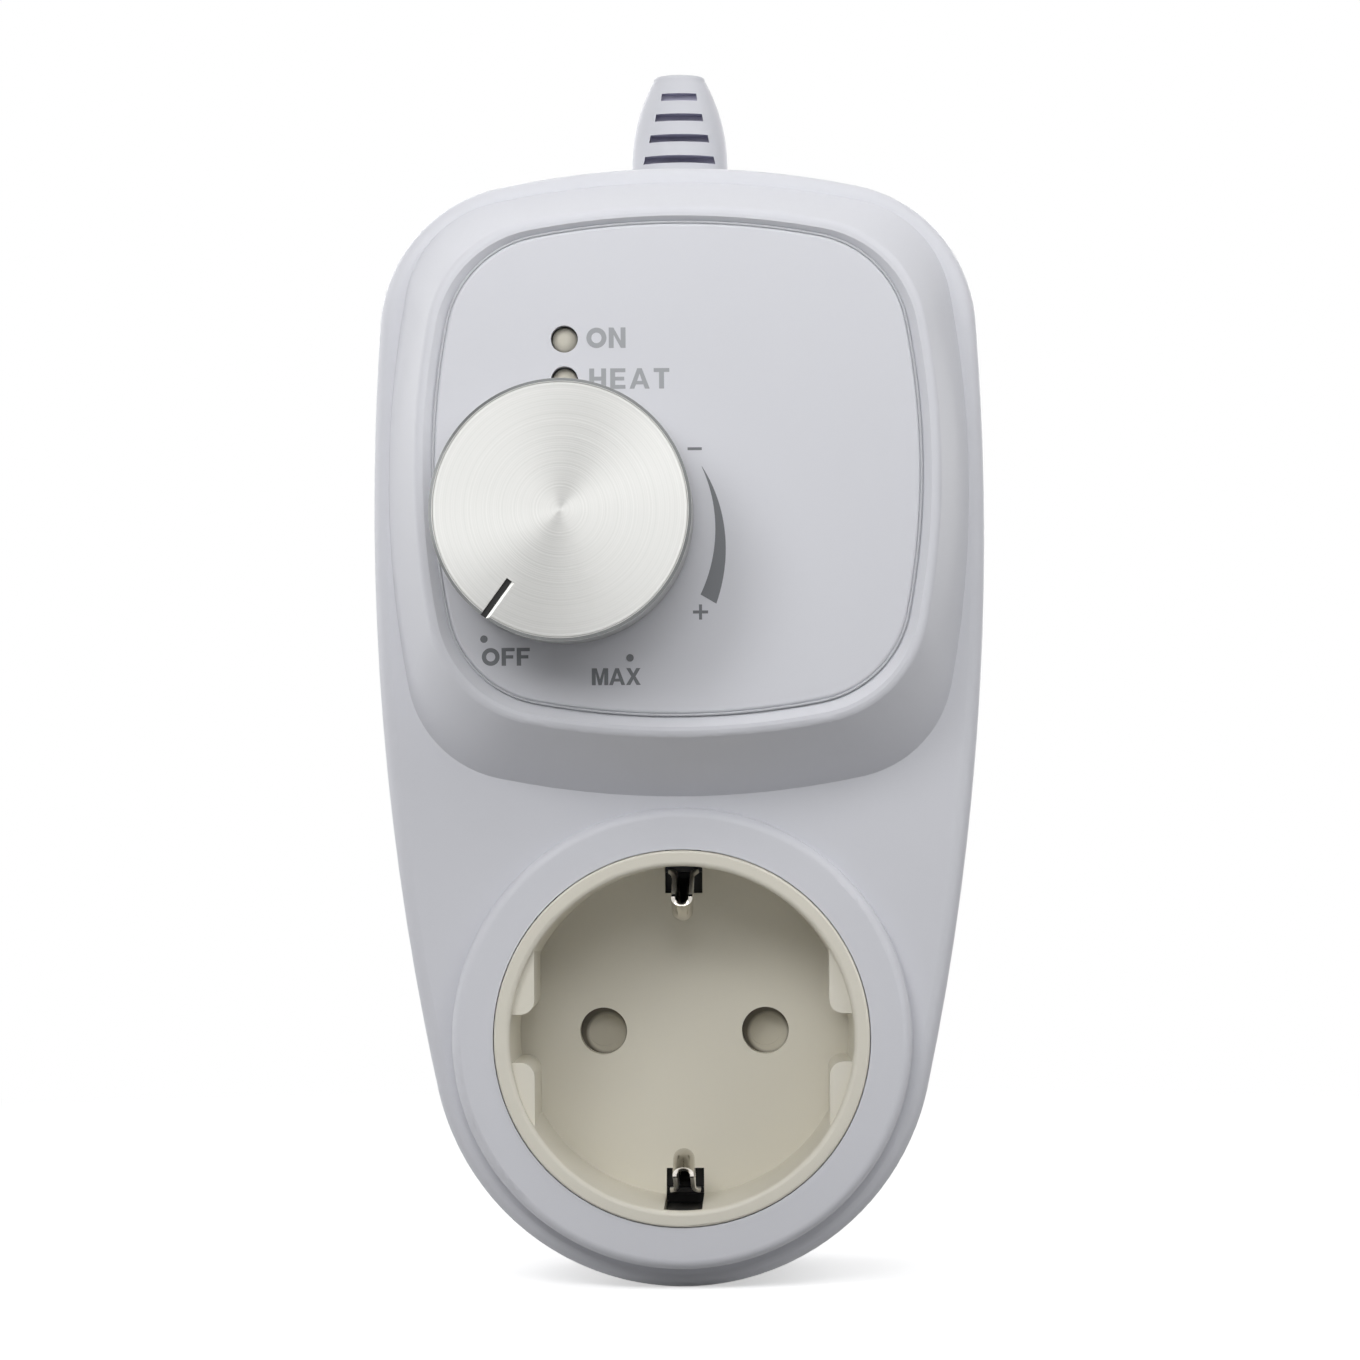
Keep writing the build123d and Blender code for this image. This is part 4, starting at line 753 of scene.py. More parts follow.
def lathe(tree, around, steps, start, runs, axis="Y", relief=None):
    """A closed turned form. Start and each run are (outwards, along), a run also with two eases."""
    rows = steps * len(runs) + 1
    grid = flow(
        tree, "GeometryNodeMeshGrid", Size_X=1.0, Size_Y=1.0, Vertices_X=around + 1, Vertices_Y=rows
    )
    flat_x, flat_y, _ = position_axes(tree)
    angle = (flat_x + 0.5) * (2 * math.pi)
    walk = (flat_y + 0.5) * float(len(runs))
    radius, along = start
    for number, run in enumerate(runs):
        outwards, onwards, ease_out, ease_on = (*run, 1, 1)[:4]
        share = clamped(walk - float(number))
        radius = eased(share, ease_out) * outwards + radius
        along = eased(share, ease_on) * onwards + along
    if relief:
        along = along + relief(walk)
    side_one = radius * calculate("COSINE", angle)
    side_two = radius * calculate("SINE", angle)
    axes = (side_one, -along, side_two) if axis == "Y" else (side_one, side_two, along)
    wrapped = placed_points(grid, Position=vector_of(*axes))
    return flow(tree, "GeometryNodeMergeByDistance", Geometry=wrapped, Distance=MERGE)


def every(*tests):
    """1 where each (value, least, most) holds."""
    result = None
    for value, least, most in tests:
        inside = (value > least) * (value < most)
        result = inside if result is None else result * inside
    return result


def end_tree(end, geometry, finish, *painted):
    """Realize Instances and Set Material, once for the whole and once for each painted selection."""
    tree = geometry.tree
    solid = flow(tree, "GeometryNodeRealizeInstances", Geometry=geometry)
    solid = flow(tree, "GeometryNodeSetMaterial", Geometry=solid, Material=finish)
    for selection, paint in painted:
        solid = flow(tree, "GeometryNodeSetMaterial", Geometry=solid, Selection=selection, Material=paint)
    feed(end.inputs["Geometry"], solid)


def keep_used_finishes(mesh):
    """Drops empty and unused material slots, which a boolean leaves, and renumbers the faces."""
    held = list(mesh.materials)
    worn = [face.material_index for face in mesh.polygons]
    used = []
    for number in worn:
        if held[number] not in used:
            used.append(held[number])
    mesh.materials.clear()
    for finish in used:
        mesh.materials.append(finish)
    for face, number in zip(mesh.polygons, worn):
        face.material_index = used.index(held[number])


def settle(form, mesh):
    """Writes the form to the mesh with its faces outward; the form is freed."""
    bmesh.ops.recalc_face_normals(form, faces=form.faces)
    form.to_mesh(mesh)
    form.free()
    return mesh


def plain_mesh(holder, weld):
    """An object's mesh with its modifiers applied, smooth but for sharp edges; the object goes."""
    bpy.context.view_layer.update()
    mesh = bpy.data.meshes.new_from_object(holder.evaluated_get(bpy.context.evaluated_depsgraph_get()))
    holder.modifiers.clear()
    bpy.data.objects.remove(holder)
    form = bmesh.new()
    form.from_mesh(mesh)
    if weld:
        bmesh.ops.remove_doubles(form, verts=form.verts, dist=WELD)
    settle(form, mesh)
    mesh.shade_smooth()
    mesh.set_sharp_from_angle(angle=SHARP_FROM)
    return mesh


def grow(tree, values):
    """Runs the tree with these values and gives the result as a plain mesh."""
    holder = show(tree.name, bpy.data.meshes.new(tree.name))
    modifier = holder.modifiers.new("grow", "NODES")
    modifier.node_group = tree
    for item in tree.interface.items_tree:
        if item.in_out == "INPUT":
            modifier[item.identifier] = values[item.name]
    mesh = plain_mesh(holder, weld=True)
    keep_used_finishes(mesh)
    mesh.name = tree.name
    return mesh


def add_piece(name, mesh, body, material=None):
    """Makes the mesh an object that rides on a body."""
    piece = show(name, mesh)
    if material:
        mesh.materials.clear()
        mesh.materials.append(material)
    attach(piece, body)
    return piece


print("lathe ready")

# %% [markdown]
# ## Knob
# The real knob is one aluminium cap, turned and then cut once with a slitting saw for its pointer. Its
# outline goes from the middle of the face to the rim, round a fine groove and a chamfer, down the side
# and back up inside. The face has real rings of a hundredth of a millimetre, from a seeded noise. The
# saw cut is a boolean with one flank sloped. The photograph shows a bright line along the pointer, so
# the flank gets a near-white matt metal as a painted highlight, and the floor is painted black. The
# chamfer gets a darker metal as painted shade, for the dark line round the face's edge.

# %% Knob tree
RING_STEPS = 32
RING_DEPTH = 0.012 * MM
RING_NOISE = 0.9
KNOB_AROUND = 160
NOTCH_SLOPE = 0.6 * MM
SAW_LENGTH = 8.0 * MM
NOTCH_REACH = 17.4 * MM
FACE_PART = 0.99
SLACK = 0.02 * MM

knob_sizes = {
    "Centre": (knob_centre.x, 0.0, knob_centre.z),
    "Radius": (knob_high.x - knob_low.x) / 2,
    "Top": -knob_low.y - RING_DEPTH,
    "Bottom": -knob_high.y,
    "Chamfer": 0.35 * MM,
    "Wall": 1.4 * MM,
    "Roof": 2.0 * MM,
    "Groove": 0.05 * MM,
    "Ring depth": RING_DEPTH,
    "Seed": 5.0,
    "Notch start": 9.5 * MM,
    "Notch width": 0.68 * MM,
    "Notch depth": 0.36 * MM,
    "Notch angle": math.radians(36),
    "Metal": turned,
    # painted shade: a darker metal on the chamfer stands for the dark line round the face's edge
    "Edge metal": metal("cut_edge", (112, 114, 114), 0.3),
    # painted highlight: a near-white matt metal on the sloped flank gives the bright line along the pointer
    "Flank metal": metal("cut_flank", (250, 250, 248), 0.85),
    "Paint": plastic("pointer_paint", (24, 24, 24), (40, 40, 40), 0.5, dust=0.0),
}
knob_tree, knob, knob_end = geometry_tree("turned_knob", knob_sizes)


def knob_rings(walk):
    """Noise along the face's radius, and none elsewhere."""
    steps = walk * float(RING_STEPS) + knob["Seed"]
    settings = {"noise_dimensions": "1D"}
    wave = flow(knob_tree, "ShaderNodeTexNoise", settings, W=steps, Scale=RING_NOISE, Detail=0.0)
    return (wave - 0.5) * knob["Ring depth"] * (walk < FACE_PART)


groove, chamfer, top = knob["Groove"], knob["Chamfer"], knob["Top"]
face_reach = knob["Radius"] - chamfer - groove * 3.0
height = top - knob["Bottom"]
cap = lathe(
    knob_tree,
    KNOB_AROUND,
    RING_STEPS,
    (0.0, top),
    [
        (face_reach, 0.0),
        (groove, -groove),
        (groove, groove),
        (groove, 0.0),
        (chamfer, -chamfer),
        (0.0, chamfer - height),
        (-knob["Wall"], 0.0),
        (0.0, height - knob["Roof"]),
        (knob["Wall"] - knob["Radius"], 0.0),
    ],
    relief=knob_rings,
)
saw = box(knob["Notch width"], knob["Notch depth"] * 2.0, SAW_LENGTH)
saw_x, saw_y, _ = position_axes(knob_tree)
sloped = (saw_x > 0.0) * (saw_y < 0.0)
saw = placed_points(saw, Offset=vector_of(sloped * NOTCH_SLOPE))
saw = moved(saw, Translation=vector_of(z=-(knob["Notch start"] + SAW_LENGTH / 2)))
saw = moved(saw, Rotation=vector_of(y=knob["Notch angle"]), Translation=vector_of(y=-top))
saw = moved(saw, Translation=knob["Centre"])
notched = cut(moved(cap, Translation=knob["Centre"]), saw)

# where the paint, the sloped flank and the bare edge lie
centre_x, _, centre_z = axes_of(knob["Centre"])
at_x, at_y, at_z = position_axes(knob_tree)
from_x = at_x - centre_x
from_z = at_z - centre_z
sine = calculate("SINE", knob["Notch angle"])
cosine = calculate("COSINE", knob["Notch angle"])
aside = from_x * cosine - from_z * sine
pointed = from_x * sine + from_z * cosine
sunk = at_y + top
out_there = distance(from_x, from_z)
half_notch = knob["Notch width"] * 0.5
notch_floor = knob["Notch depth"] + SLACK
along_notch = (pointed, -NOTCH_REACH, SLACK - knob["Notch start"])
in_notch = every(
    (aside, -SLACK - half_notch, half_notch - SLACK),
    along_notch,
    (sunk, 3 * SLACK, notch_floor),
)
on_flank = every(
    (aside, half_notch - SLACK, half_notch + NOTCH_SLOPE),
    along_notch,
    (sunk, SLACK, notch_floor),
    (out_there, 0.0, face_reach),
)
on_chamfer = every(
    (sunk, SLACK / 2, chamfer - SLACK / 2),
    (out_there, knob["Radius"] - chamfer - SLACK, knob["Radius"]),
)
end_tree(
    knob_end,
    notched,
    knob["Metal"],
    # painted shade on the chamfer and a painted highlight on the sloped flank
    (on_chamfer, knob["Edge metal"]),
    (on_flank, knob["Flank metal"]),
    (in_notch, knob["Paint"]),
)
print("knob tree nodes:", len(knob_tree.nodes))

# %% Knob
knob_mesh = grow(knob_tree, knob_sizes)
turned_knob = add_piece("turned_knob", knob_mesh, "knob")
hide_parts("knob_shell")
print("knob faces:", len(knob_mesh.polygons), "materials:", [m.name for m in knob_mesh.materials])

# %% [markdown]
# ## Cable boot
# The boot is soft rubber, flared like a trumpet, with four windows through each side that let it bend.
# Its taper follows a rule: the radius drops with a power of the height. The windows are box cutters on a
# line of points, each narrower than the one below, and what they uncover is painted a darker, bluer grey
# as painted shade inside the windows.

# %% Boot tree
BOOT_AROUND = 112
BOOT_STEPS = 20
WINDOW_DEPTH = 4.4 * MM
WINDOW_LEAN = -60.0
SKIN = 0.1 * MM
WINDOW_SHADE_END = 111.0 * MM

boot_low, boot_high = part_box("strain_relief_boot")
boot_sizes = {
    "Axis place": ((boot_low.x + boot_high.x) / 2, (boot_low.y + boot_high.y) / 2, 0.0),
    "Foot height": boot_low.z,
    "Bore radius": 2.0 * MM,
    "Flange radius": (boot_high.x - boot_low.x) / 2,
    "Flange thickness": 1.5 * MM,
    "Radius": 5.65 * MM,
    "Straight": 3.9 * MM,
    "Taper": 11.3 * MM,
    "Drop": 2.6 * MM,
    "Power": 2.4,
    "Round": 0.5 * MM,
    "Windows": 4,
    "First window": 102.3 * MM,
    "Window pitch": 2.5 * MM,
    "Window height": 0.9 * MM,
    "Window width": 8.26 * MM,
    "Narrowing": 0.165,
    "Window floor": 2.35 * MM,
    "Rubber": finishes["boot_rubber"],
    # painted shade: the faces inside the windows take this darker, bluer grey
    "Core": plastic("boot_core", (192, 191, 208), (198, 197, 212), 0.5, dust=0.0),
}
boot_tree, boot, boot_end = geometry_tree("windowed_boot", boot_sizes)
bore, radius, drop, tip_round = boot["Bore radius"], boot["Radius"], boot["Drop"], boot["Round"]
whole = boot["Flange thickness"] + boot["Straight"] + boot["Taper"]
flared = lathe(
    boot_tree,
    BOOT_AROUND,
    BOOT_STEPS,
    (bore, boot["Foot height"]),
    [
        (boot["Flange radius"] - bore, 0.0),
        (0.0, boot["Flange thickness"]),
        (radius - boot["Flange radius"], 0.0),
        (0.0, boot["Straight"]),
        (-drop, boot["Taper"], boot["Power"], 1),
        (-tip_round, tip_round, "cosine", "sine"),
        (bore - (radius - drop - tip_round), 0.0),
        (0.0, -(whole + tip_round)),
    ],
    axis="Z",
)
opening = box(boot["Window width"], WINDOW_DEPTH, boot["Window height"])
slot_x, _, slot_z = position_axes(boot_tree)
opening = placed_points(opening, Offset=vector_of(slot_x * slot_z * WINDOW_LEAN))
out_by = boot["Window floor"] + WINDOW_DEPTH / 2
pair = joined(*(moved(opening, Translation=vector_of(y=y)) for y in (out_by, -out_by)))
ladder = flow(
    boot_tree,
    "GeometryNodeMeshLine",
    Count=boot["Windows"],
    Start_Location=vector_of(z=boot["First window"]),
    Offset=vector_of(z=boot["Window pitch"]),
)
narrower = 1.0 - flow(boot_tree, "GeometryNodeInputIndex") * boot["Narrowing"]
windows = flow(
    boot_tree,
    "GeometryNodeInstanceOnPoints",
    Points=ladder,
    Instance=pair,
    Scale=vector_of(narrower, 1.0, 1.0),
)
windowed = cut(flared, flow(boot_tree, "GeometryNodeRealizeInstances", Geometry=windows))

# painted shade in the windows: under the boot's skin, from the first window upwards, the faces take a
# darker, bluer grey
axis_x, axis_y, _ = axes_of(boot["Axis place"])
at_x, at_y, at_z = position_axes(boot_tree)
taper_start = boot["Foot height"] + boot["Flange thickness"] + boot["Straight"]
raised = clamped((at_z - taper_start) / boot["Taper"])
skin_radius = radius - raised ** boot["Power"] * drop
under_skin = every(
    (skin_radius - distance(at_x - axis_x, at_y - axis_y), SKIN, 1.0),
    (at_z, boot["First window"] - boot["Window height"], WINDOW_SHADE_END),
)
placed_boot = moved(windowed, Translation=boot["Axis place"])
end_tree(boot_end, placed_boot, boot["Rubber"], (under_skin, boot["Core"]))
print("boot tree nodes:", len(boot_tree.nodes))

# %% Boot
boot_mesh = grow(boot_tree, boot_sizes)
windowed_boot = add_piece("windowed_boot", boot_mesh, "housing")
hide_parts("strain_relief_boot")
print("boot faces:", len(boot_mesh.polygons), "materials:", [m.name for m in boot_mesh.materials])

# %% [markdown]
# ## Panel bead
# The flat panel is set into the hood, and the joint shows as a thin grey line. A bare gap comes out
# darker than that, so a soft bead is laid along it; that the object has such a bead is a guess. The
# bead follows the panel's own outline, which is read from the CAD mesh as the hull of its front face,
# and a Geometry Nodes tree sweeps a small circle along it.

# %% Panel outline
PANEL_FACE = -64.0 * MM
FACE_BAND = 0.5 * MM


def turns_left(first, middle, last):
    """Whether a path through three points in a plane turns left at the middle one."""
    leftwards = (middle[0] - first[0]) * (last[1] - first[1])
    return leftwards > (middle[1] - first[1]) * (last[0] - first[0])


def hull(points):
    """The convex outline of points in a plane, anticlockwise."""
    ordered = sorted(set(points))
    outline = []
    for line in (ordered, ordered[::-1]):
        part = []
        for point in line:
            while len(part) > 1 and not turns_left(part[-2], part[-1], point):
                part.pop()
            part.append(point)
        outline += part[:-1]
    return outline


panel_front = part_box("front_panel")[0].y + FACE_BAND
panel_outline = hull(
    (round(corner.co.x, 6), round(corner.co.z, 6))
    for corner in nodes["front_panel"].data.vertices
    if corner.co.y < panel_front
)
print("panel outline points:", len(panel_outline))

# %% Bead
BEAD_THICKNESS = 0.3 * MM
BEAD_OUTSIDE = 0.08 * MM
BEAD_DEPTH = 0.14 * MM

panel_middle = Vector((sum(x for x, _ in panel_outline), sum(z for _, z in panel_outline)))
panel_middle /= len(panel_outline)
path_curve = bpy.data.curves.new("bead_path", "CURVE")
path_curve.dimensions = "3D"
loop = path_curve.splines.new("POLY")
loop.points.add(len(panel_outline) - 1)
loop.use_cyclic_u = True
for point, (x, z) in zip(loop.points, panel_outline):
    outwards = (Vector((x, z)) - panel_middle).normalized() * BEAD_OUTSIDE
    point.co = (x + outwards.x, PANEL_FACE + BEAD_DEPTH, z + outwards.y, 1)

bead_sizes = {
    "Path": show("bead_path", path_curve),
    "Thickness": BEAD_THICKNESS,
    "Steps": 240,
    "Sides": 10,
    "Rubber": plastic("bead_grey", (196, 198, 203), (204, 206, 211), 0.5, dust=0.0),
}
bead_tree, bead, bead_end = geometry_tree("panel_bead", bead_sizes)
path = flow(bead_tree, "GeometryNodeObjectInfo", output="Geometry", Object=bead["Path"])
walked = flow(bead_tree, "GeometryNodeResampleCurve", Curve=path, Count=bead["Steps"])
section = flow(
    bead_tree, "GeometryNodeCurvePrimitiveCircle", Resolution=bead["Sides"], Radius=bead["Thickness"] * 0.5
)
swept = flow(bead_tree, "GeometryNodeCurveToMesh", Curve=walked, Profile_Curve=section)
end_tree(bead_end, swept, bead["Rubber"])
bead_mesh = grow(bead_tree, bead_sizes)
bpy.data.objects.remove(bead_sizes["Path"])
panel_bead = add_piece("panel_bead", bead_mesh, "housing")
print("bead faces:", len(bead_mesh.polygons))

# %% [markdown]
# ## Case screws
# Four screws hold the back on. One zinc-plated screw is turned, its cross recess is cut, and it is placed
# on the two right-hand places and on their mirror images.

# %% Screw tree
HEAD_RADIUS = 2.8 * MM
SCREW_AROUND = 40
SCREW_STEPS = 8

screw_low, screw_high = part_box("case_screws")
screw_sizes = {
    "Lower place": (28.38 * MM, 0.0, screw_low.z + HEAD_RADIUS),
    "Upper place": (screw_high.x - HEAD_RADIUS, 0.0, screw_high.z - HEAD_RADIUS),
    "Top": -screw_high.y,
    "Head radius": HEAD_RADIUS,
    "Crown": 0.5 * MM,
    "Head side": 1.3 * MM,
    "Shank radius": 1.45 * MM,
    "Shank": 22.0 * MM,
    "Point": 2.0 * MM,
    "Recess width": 0.8 * MM,
    "Recess length": 3.2 * MM,
    "Recess depth": 1.0 * MM,
    "Plating": finishes["zinc_steel"],
}
screw_tree, screw, screw_end = geometry_tree("cross_screws", screw_sizes)
half_head = screw["Head radius"] * 0.5
recessed = lathe(
    screw_tree,
    SCREW_AROUND,
    SCREW_STEPS,
    (0.0, screw["Top"]),
    [
        (half_head, 0.0),
        (half_head, screw["Crown"], "sine", "cosine"),
        (0.0, screw["Head side"]),
        (screw["Shank radius"] - screw["Head radius"], 0.0),
        (0.0, screw["Shank"]),
        (-screw["Shank radius"], screw["Point"]),
    ],
)
for size_x, size_z in (("Recess width", "Recess length"), ("Recess length", "Recess width")):
    blade = box(screw[size_x], screw["Recess depth"] * 2.0, screw[size_z])
    recessed = cut(recessed, moved(blade, Translation=vector_of(y=-screw["Top"])))
right_pair = flow(
    screw_tree,
    "GeometryNodeMeshLine",
    {"mode": "END_POINTS"},
    Count=2,
    Start_Location=screw["Lower place"],
    Offset=screw["Upper place"],
)
places = joined(right_pair, moved(right_pair, Scale=(-1, 1, 1)))
screws = flow(screw_tree, "GeometryNodeInstanceOnPoints", Points=places, Instance=recessed)
end_tree(screw_end, screws, screw["Plating"])
print("screw tree nodes:", len(screw_tree.nodes))

# %% Screws
screw_mesh = grow(screw_tree, screw_sizes)
cross_screws = add_piece("cross_screws", screw_mesh, "housing")
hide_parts("case_screws")
print("screw faces:", len(screw_mesh.polygons))

# %% [markdown]
# ## Earth clips
# Each clip is pressed from nickel-plated sheet: a rounded crown that a plug's earth strip slides over,
# and two parallel legs that turn outwards at their feet, deep in the pocket. Its section is a U whose
# size changes along its height, so it is built as a grid of points and given the sheet's thickness
# afterwards. The legs have a rougher finish than the crown.

# %% Clip outline
CLIP_SHEET = 0.46 * MM
CLIP_RIM = 0.08 * MM
CLIP_CROWN = [(35.8, 17.6), (38.6, 16.4), (42.0, 14.6), (45.5, 13.45), (48.0, 13.6), (50.7, 15.2)]
CLIP_LEG = [(35.8, 18.7), (38.6, 18.7), (42.0, 18.25), (45.5, 17.3), (48.0, 16.6), (50.7, 16.05)]
CLIP_SPREAD = [(1.8,), (1.75,), (1.1,), (1.0,), (1.0,), (1.0,)]
CLIP_WAIST = 1.0
CLIP_SHOULDER = 0.95
CLIP_LEG_FROM = 16.3 * MM
CLIP_LEG_INSIDE = 0.7 * MM
CLIP_ROWS = 30
CLIP_COLUMNS = 8
cut_nickel = metal("cut_nickel", (236, 234, 230), 0.5)


def smooth_row(rows, share):
    """A point of a smooth curve through the rows, at a share of its length."""
    at = share * (len(rows) - 1)
    here = min(int(at), len(rows) - 2)
    t = at - here
    before, first, second, after = (rows[max(0, min(len(rows) - 1, here + k))] for k in (-1, 0, 1, 2))
    return [
        0.5 * (2 * b + (c - a) * t + (2 * a - 5 * b + 4 * c - d) * t**2 + (3 * b - a - 3 * c + d) * t**3)
        for a, b, c, d in zip(before, first, second, after)
    ]


def clip_section(share):
    """Points across the clip at a share of its height, from one leg over the crown to the other."""
    height, crown = smooth_row(CLIP_CROWN, share)
    _, leg = smooth_row(CLIP_LEG, share)
    (spread,) = smooth_row(CLIP_SPREAD, share)
    shoulder = min(CLIP_SHOULDER, 0.75 * (leg - crown))
    half = []
    for k in range(CLIP_COLUMNS + 1):
        angle = math.pi / 2 * k / CLIP_COLUMNS
        half.append((CLIP_WAIST * math.sin(angle), crown + shoulder * (1 - math.cos(angle))))
    straight = leg - crown - shoulder
    half.append((CLIP_WAIST, crown + shoulder + 0.6 * straight))
    half.append((CLIP_WAIST + 0.2 * (spread - CLIP_WAIST), crown + shoulder + 0.9 * straight))
    half.append((spread, leg))
    left = [(-x, height, z) for x, z in half[:0:-1]]
    return left + [(x, height, z) for x, z in half]


def clip_mesh(name, side):
    """The clip above or below the socket's middle, side being 1 or -1."""
    form = bmesh.new()
    rows = [
        [form.verts.new((x * MM, -y * MM, side * z * MM)) for x, y, z in clip_section(row / CLIP_ROWS)]
        for row in range(CLIP_ROWS + 1)
    ]
    for lower, upper in zip(rows, rows[1:]):
        for k in range(len(lower) - 1):
            form.faces.new((lower[k], lower[k + 1], upper[k + 1], upper[k]))
    holder = show(name, settle(form, bpy.data.meshes.new(name)))
    thick = holder.modifiers.new("sheet", "SOLIDIFY")
    thick.thickness = CLIP_SHEET
    thick.offset = 0.0
    rounded_rim = holder.modifiers.new("rim", "BEVEL")
    rounded_rim.width = CLIP_RIM
    rounded_rim.segments = 2
    rounded_rim.limit_method = "ANGLE"
    rounded_rim.angle_limit = math.radians(50)
    mesh = plain_mesh(holder, weld=False)
    mesh.materials.append(finishes["nickel"])
    mesh.materials.append(cut_nickel)
    for face in mesh.polygons:
        on_leg = abs(face.center.z) > CLIP_LEG_FROM and abs(face.center.x) > CLIP_LEG_INSIDE
        face.material_index = int(on_leg)
    return mesh


print("clip points in a section:", len(clip_section(0.5)))

# %% Clips
for clip_name, clip_body, clip_node, side in (
    ("pressed_clip_top", "top_clip", "earth_clip_top", 1),
    ("pressed_clip_bottom", "bottom_clip", "earth_clip_bottom", -1),
):
    clip = add_piece(clip_name, clip_mesh(clip_name, side), clip_body)
    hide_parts(clip_node)
    print(clip_name, "faces:", len(clip.data.polygons))

# %% [markdown]
# ## Printed marks
# The panel is printed in grey: a dot at each end of the knob's travel with its word, a minus and a plus
# beside a sickle that grows with the power, and a word beside each lamp. Print on plastic is a film of
# ink, so each mark is a very thin solid that lies on the panel. A font would bring thinner letters than
# the print has, so the few bold capitals are outlined here as polygons of height 1.

# %% Ink
INK_THICKNESS = 0.03 * MM
INK_SEAT = 0.002 * MM


def ink(name, colour):
    """Screen-printed ink: thin, matt and a little uneven at its edges."""
    grain = {"Grain_scale": 5000.0, "Grain_depth": 0.2, "Unevenness": 0.18}
    return plastic(name, colour, colour, 0.55, dust=0.0, **grain)


dial_ink = ink("dial_ink", (126, 128, 132))
lamp_ink = ink("lamp_ink", (168, 170, 174))


def pad(form, outline):
    """A thin solid on the panel with this outline, given anticlockwise as seen from the front."""
    back = [form.verts.new((x, PANEL_FACE + INK_SEAT, z)) for x, z in outline]
    front = [form.verts.new((x, PANEL_FACE - INK_THICKNESS, z)) for x, z in outline]
    form.faces.new(front)
    form.faces.new(back[::-1])
    for here in range(len(outline)):
        after = (here + 1) % len(outline)
        form.faces.new((front[after], front[here], back[here], back[after]))


def disc_outline(x, z, radius, steps=32):
    """Points round a circle."""
    angles = [2 * math.pi / steps * k for k in range(steps)]
    return [(x + radius * math.cos(angle), z + radius * math.sin(angle)) for angle in angles]


def bar_outline(x, z, width, height):
    """The four corners of a bar."""
    return [(x + u * width / 2, z + v * height / 2) for u, v in ((-1, -1), (1, -1), (1, 1), (-1, 1))]


print("ink ready")

# %% Letters
STROKE = 0.24
OVAL = 0.98
OVAL_STEPS = 28


def ring_shapes():
    """The quads of an upright oval ring of height 1."""
    shapes = []
    for k in range(OVAL_STEPS):
        corners = []
        for step, inset in ((k, 0), (k + 1, 0), (k + 1, STROKE), (k, STROKE)):
            angle = 2 * math.pi * step / OVAL_STEPS
            x = OVAL / 2 + (OVAL / 2 - inset) * math.cos(angle)
            corners.append((x, 0.5 + (0.5 - inset) * math.sin(angle)))
        shapes.append(corners[::-1])
    return shapes


# width and outlines of each bold capital of height 1; outlines touch and never overlap
t = STROKE
LETTERS = {
    "O": (OVAL, ring_shapes()),
    "F": (0.72, [
        [(0, 0), (t, 0), (t, 0.4), (0.64, 0.4), (0.64, 0.59), (t, 0.59), (t, 0.81), (0.72, 0.81)]
        + [(0.72, 1), (0, 1)],
    ]),
    "E": (0.74, [
        [(0, 0), (0.74, 0), (0.74, 0.19), (t, 0.19), (t, 0.41), (0.68, 0.41), (0.68, 0.59), (t, 0.59)]
        + [(t, 0.81), (0.74, 0.81), (0.74, 1), (0, 1)],
    ]),
    "H": (0.82, [
        [(0, 0), (t, 0), (t, 0.41), (0.82 - t, 0.41), (0.82 - t, 0), (0.82, 0)]
        + [(0.82, 1), (0.82 - t, 1), (0.82 - t, 0.6), (t, 0.6), (t, 1), (0, 1)],
    ]),
    "T": (0.76, [
        [(0.38 - t / 2, 0), (0.38 + t / 2, 0), (0.38 + t / 2, 0.81), (0.76, 0.81), (0.76, 1), (0, 1)]
        + [(0, 0.81), (0.38 - t / 2, 0.81)],
    ]),
    "N": (0.82, [
        [(0, 0), (t, 0), (t, 0.64), (0.59, 0), (0.82, 0), (0.82, 1), (0.82 - t, 1), (0.82 - t, 0.36)]
        + [(0.23, 1), (0, 1)],
    ]),
    "M": (1.0, [
        [(0, 0), (t, 0), (t, 0.7), (0.4, 0), (0.6, 0), (1 - t, 0.7), (1 - t, 0), (1, 0), (1, 1)]
        + [(0.7, 1), (0.5, 0.36), (0.3, 1), (0, 1)],
    ]),
    "X": (0.9, [
        [(0, 0), (0.26, 0), (0.45, 0.34), (0.64, 0), (0.9, 0), (0.58, 0.51), (0.88, 1), (0.63, 1)]
        + [(0.45, 0.69), (0.27, 1), (0.02, 1), (0.32, 0.51)],
    ]),
    "A": (0.98, [
        [(0, 0), (0.23, 0), (0.31, 0.21), (0.37, 0.38), (0.49, 0.74), (0.49, 1), (0.38, 1)],
        [(0.98, 0), (0.6, 1), (0.49, 1), (0.49, 0.74), (0.61, 0.38), (0.67, 0.21), (0.75, 0)],
        [(0.31, 0.21), (0.67, 0.21), (0.61, 0.38), (0.37, 0.38)],
    ]),
}


def add_word(form, text, x, z, width, height, gap=0.11):
    """Adds a word of this width and height, centred at x and z, as thin solids."""
    letters = [LETTERS[sign] for sign in text]
    natural = sum(wide for wide, _ in letters) + gap * (len(text) - 1)
    start = 0
    for wide, shapes in letters:
        for shape in shapes:
            outline = [
                (x + ((start + u) / natural - 0.5) * width, z + (v - 0.5) * height) for u, v in shape
            ]
            pad(form, outline)
        start += wide + gap


print("letters:", "".join(sorted(LETTERS)))

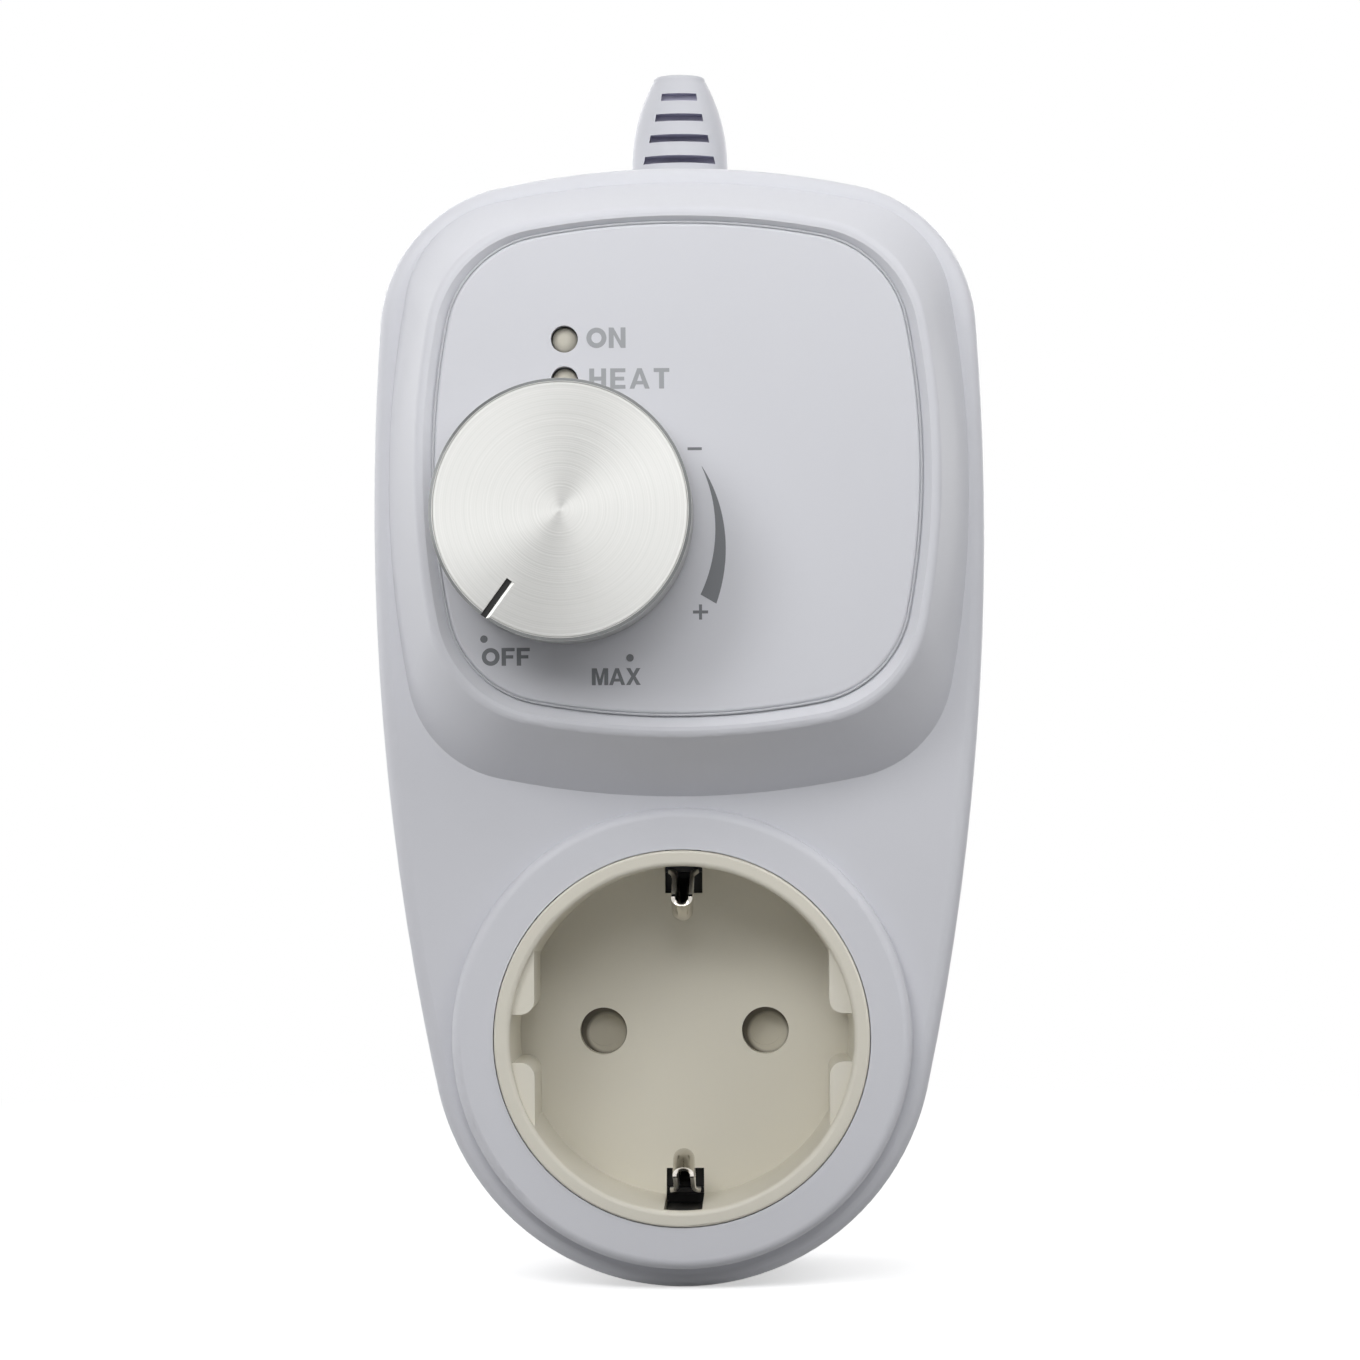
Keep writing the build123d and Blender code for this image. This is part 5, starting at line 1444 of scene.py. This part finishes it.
# %% Dial marks
SICKLE_START = math.radians(19.5)
SICKLE_END = math.radians(-30.5)
SICKLE_INNER = (16.3 * MM, 17.6 * MM)
SICKLE_OUTER = (16.35 * MM, 19.65 * MM)
SICKLE_STEPS = 24
DOT_RADIUS = 0.42 * MM
DOTS = [(-21.8 * MM, 45.4 * MM), (-5.4 * MM, 43.2 * MM)]
MINUS = (2.0 * MM, 66.65 * MM, 1.6 * MM, 0.32 * MM)
PLUS_X = 2.55 * MM
PLUS_Z = 48.3
PLUS_SIZE = 1.7 * MM
PLUS_STROKE = 0.34 * MM
PLUS_ARM = 0.51


def sickle_outline():
    """A band round the knob that widens downwards, from a point to its square end."""
    inner, outer = [], []
    for step in range(SICKLE_STEPS + 1):
        share = step / SICKLE_STEPS
        angle = SICKLE_START + share * (SICKLE_END - SICKLE_START)
        for edge, (first, last) in ((inner, SICKLE_INNER), (outer, SICKLE_OUTER)):
            radius = first + share * (last - first)
            x = knob_centre.x + radius * math.cos(angle)
            edge.append((x, knob_centre.z + radius * math.sin(angle)))
    return inner + outer[::-1]


form = bmesh.new()
pad(form, sickle_outline())
for x, z in DOTS:
    pad(form, disc_outline(x, z, DOT_RADIUS))
pad(form, bar_outline(*MINUS))
pad(form, bar_outline(PLUS_X, PLUS_Z * MM, PLUS_SIZE, PLUS_STROKE))
for side in (-1, 1):
    pad(form, bar_outline(PLUS_X, (PLUS_Z + side * PLUS_ARM) * MM, PLUS_STROKE, 2 * PLUS_STROKE))
add_word(form, "OFF", -19.35 * MM, 43.4 * MM, 5.4 * MM, 2.0 * MM)
add_word(form, "MAX", -6.95 * MM, 41.1 * MM, 5.5 * MM, 1.9 * MM, gap=0.05)
dial_mesh = settle(form, bpy.data.meshes.new("dial_marks"))
dial_marks = add_piece("dial_marks", dial_mesh, "housing", dial_ink)
print("dial marks, faces:", len(dial_marks.data.polygons))

# %% Lamp words
form = bmesh.new()
add_word(form, "ON", -7.9 * MM, 79.2 * MM, 4.4 * MM, 2.3 * MM)
add_word(form, "HEAT", -5.3 * MM, 74.6 * MM, 9.0 * MM, 2.3 * MM, gap=0.2)
word_mesh = settle(form, bpy.data.meshes.new("lamp_words"))
lamp_words = add_piece("lamp_words", word_mesh, "housing", lamp_ink)
print("lamp words, faces:", len(lamp_words.data.polygons))
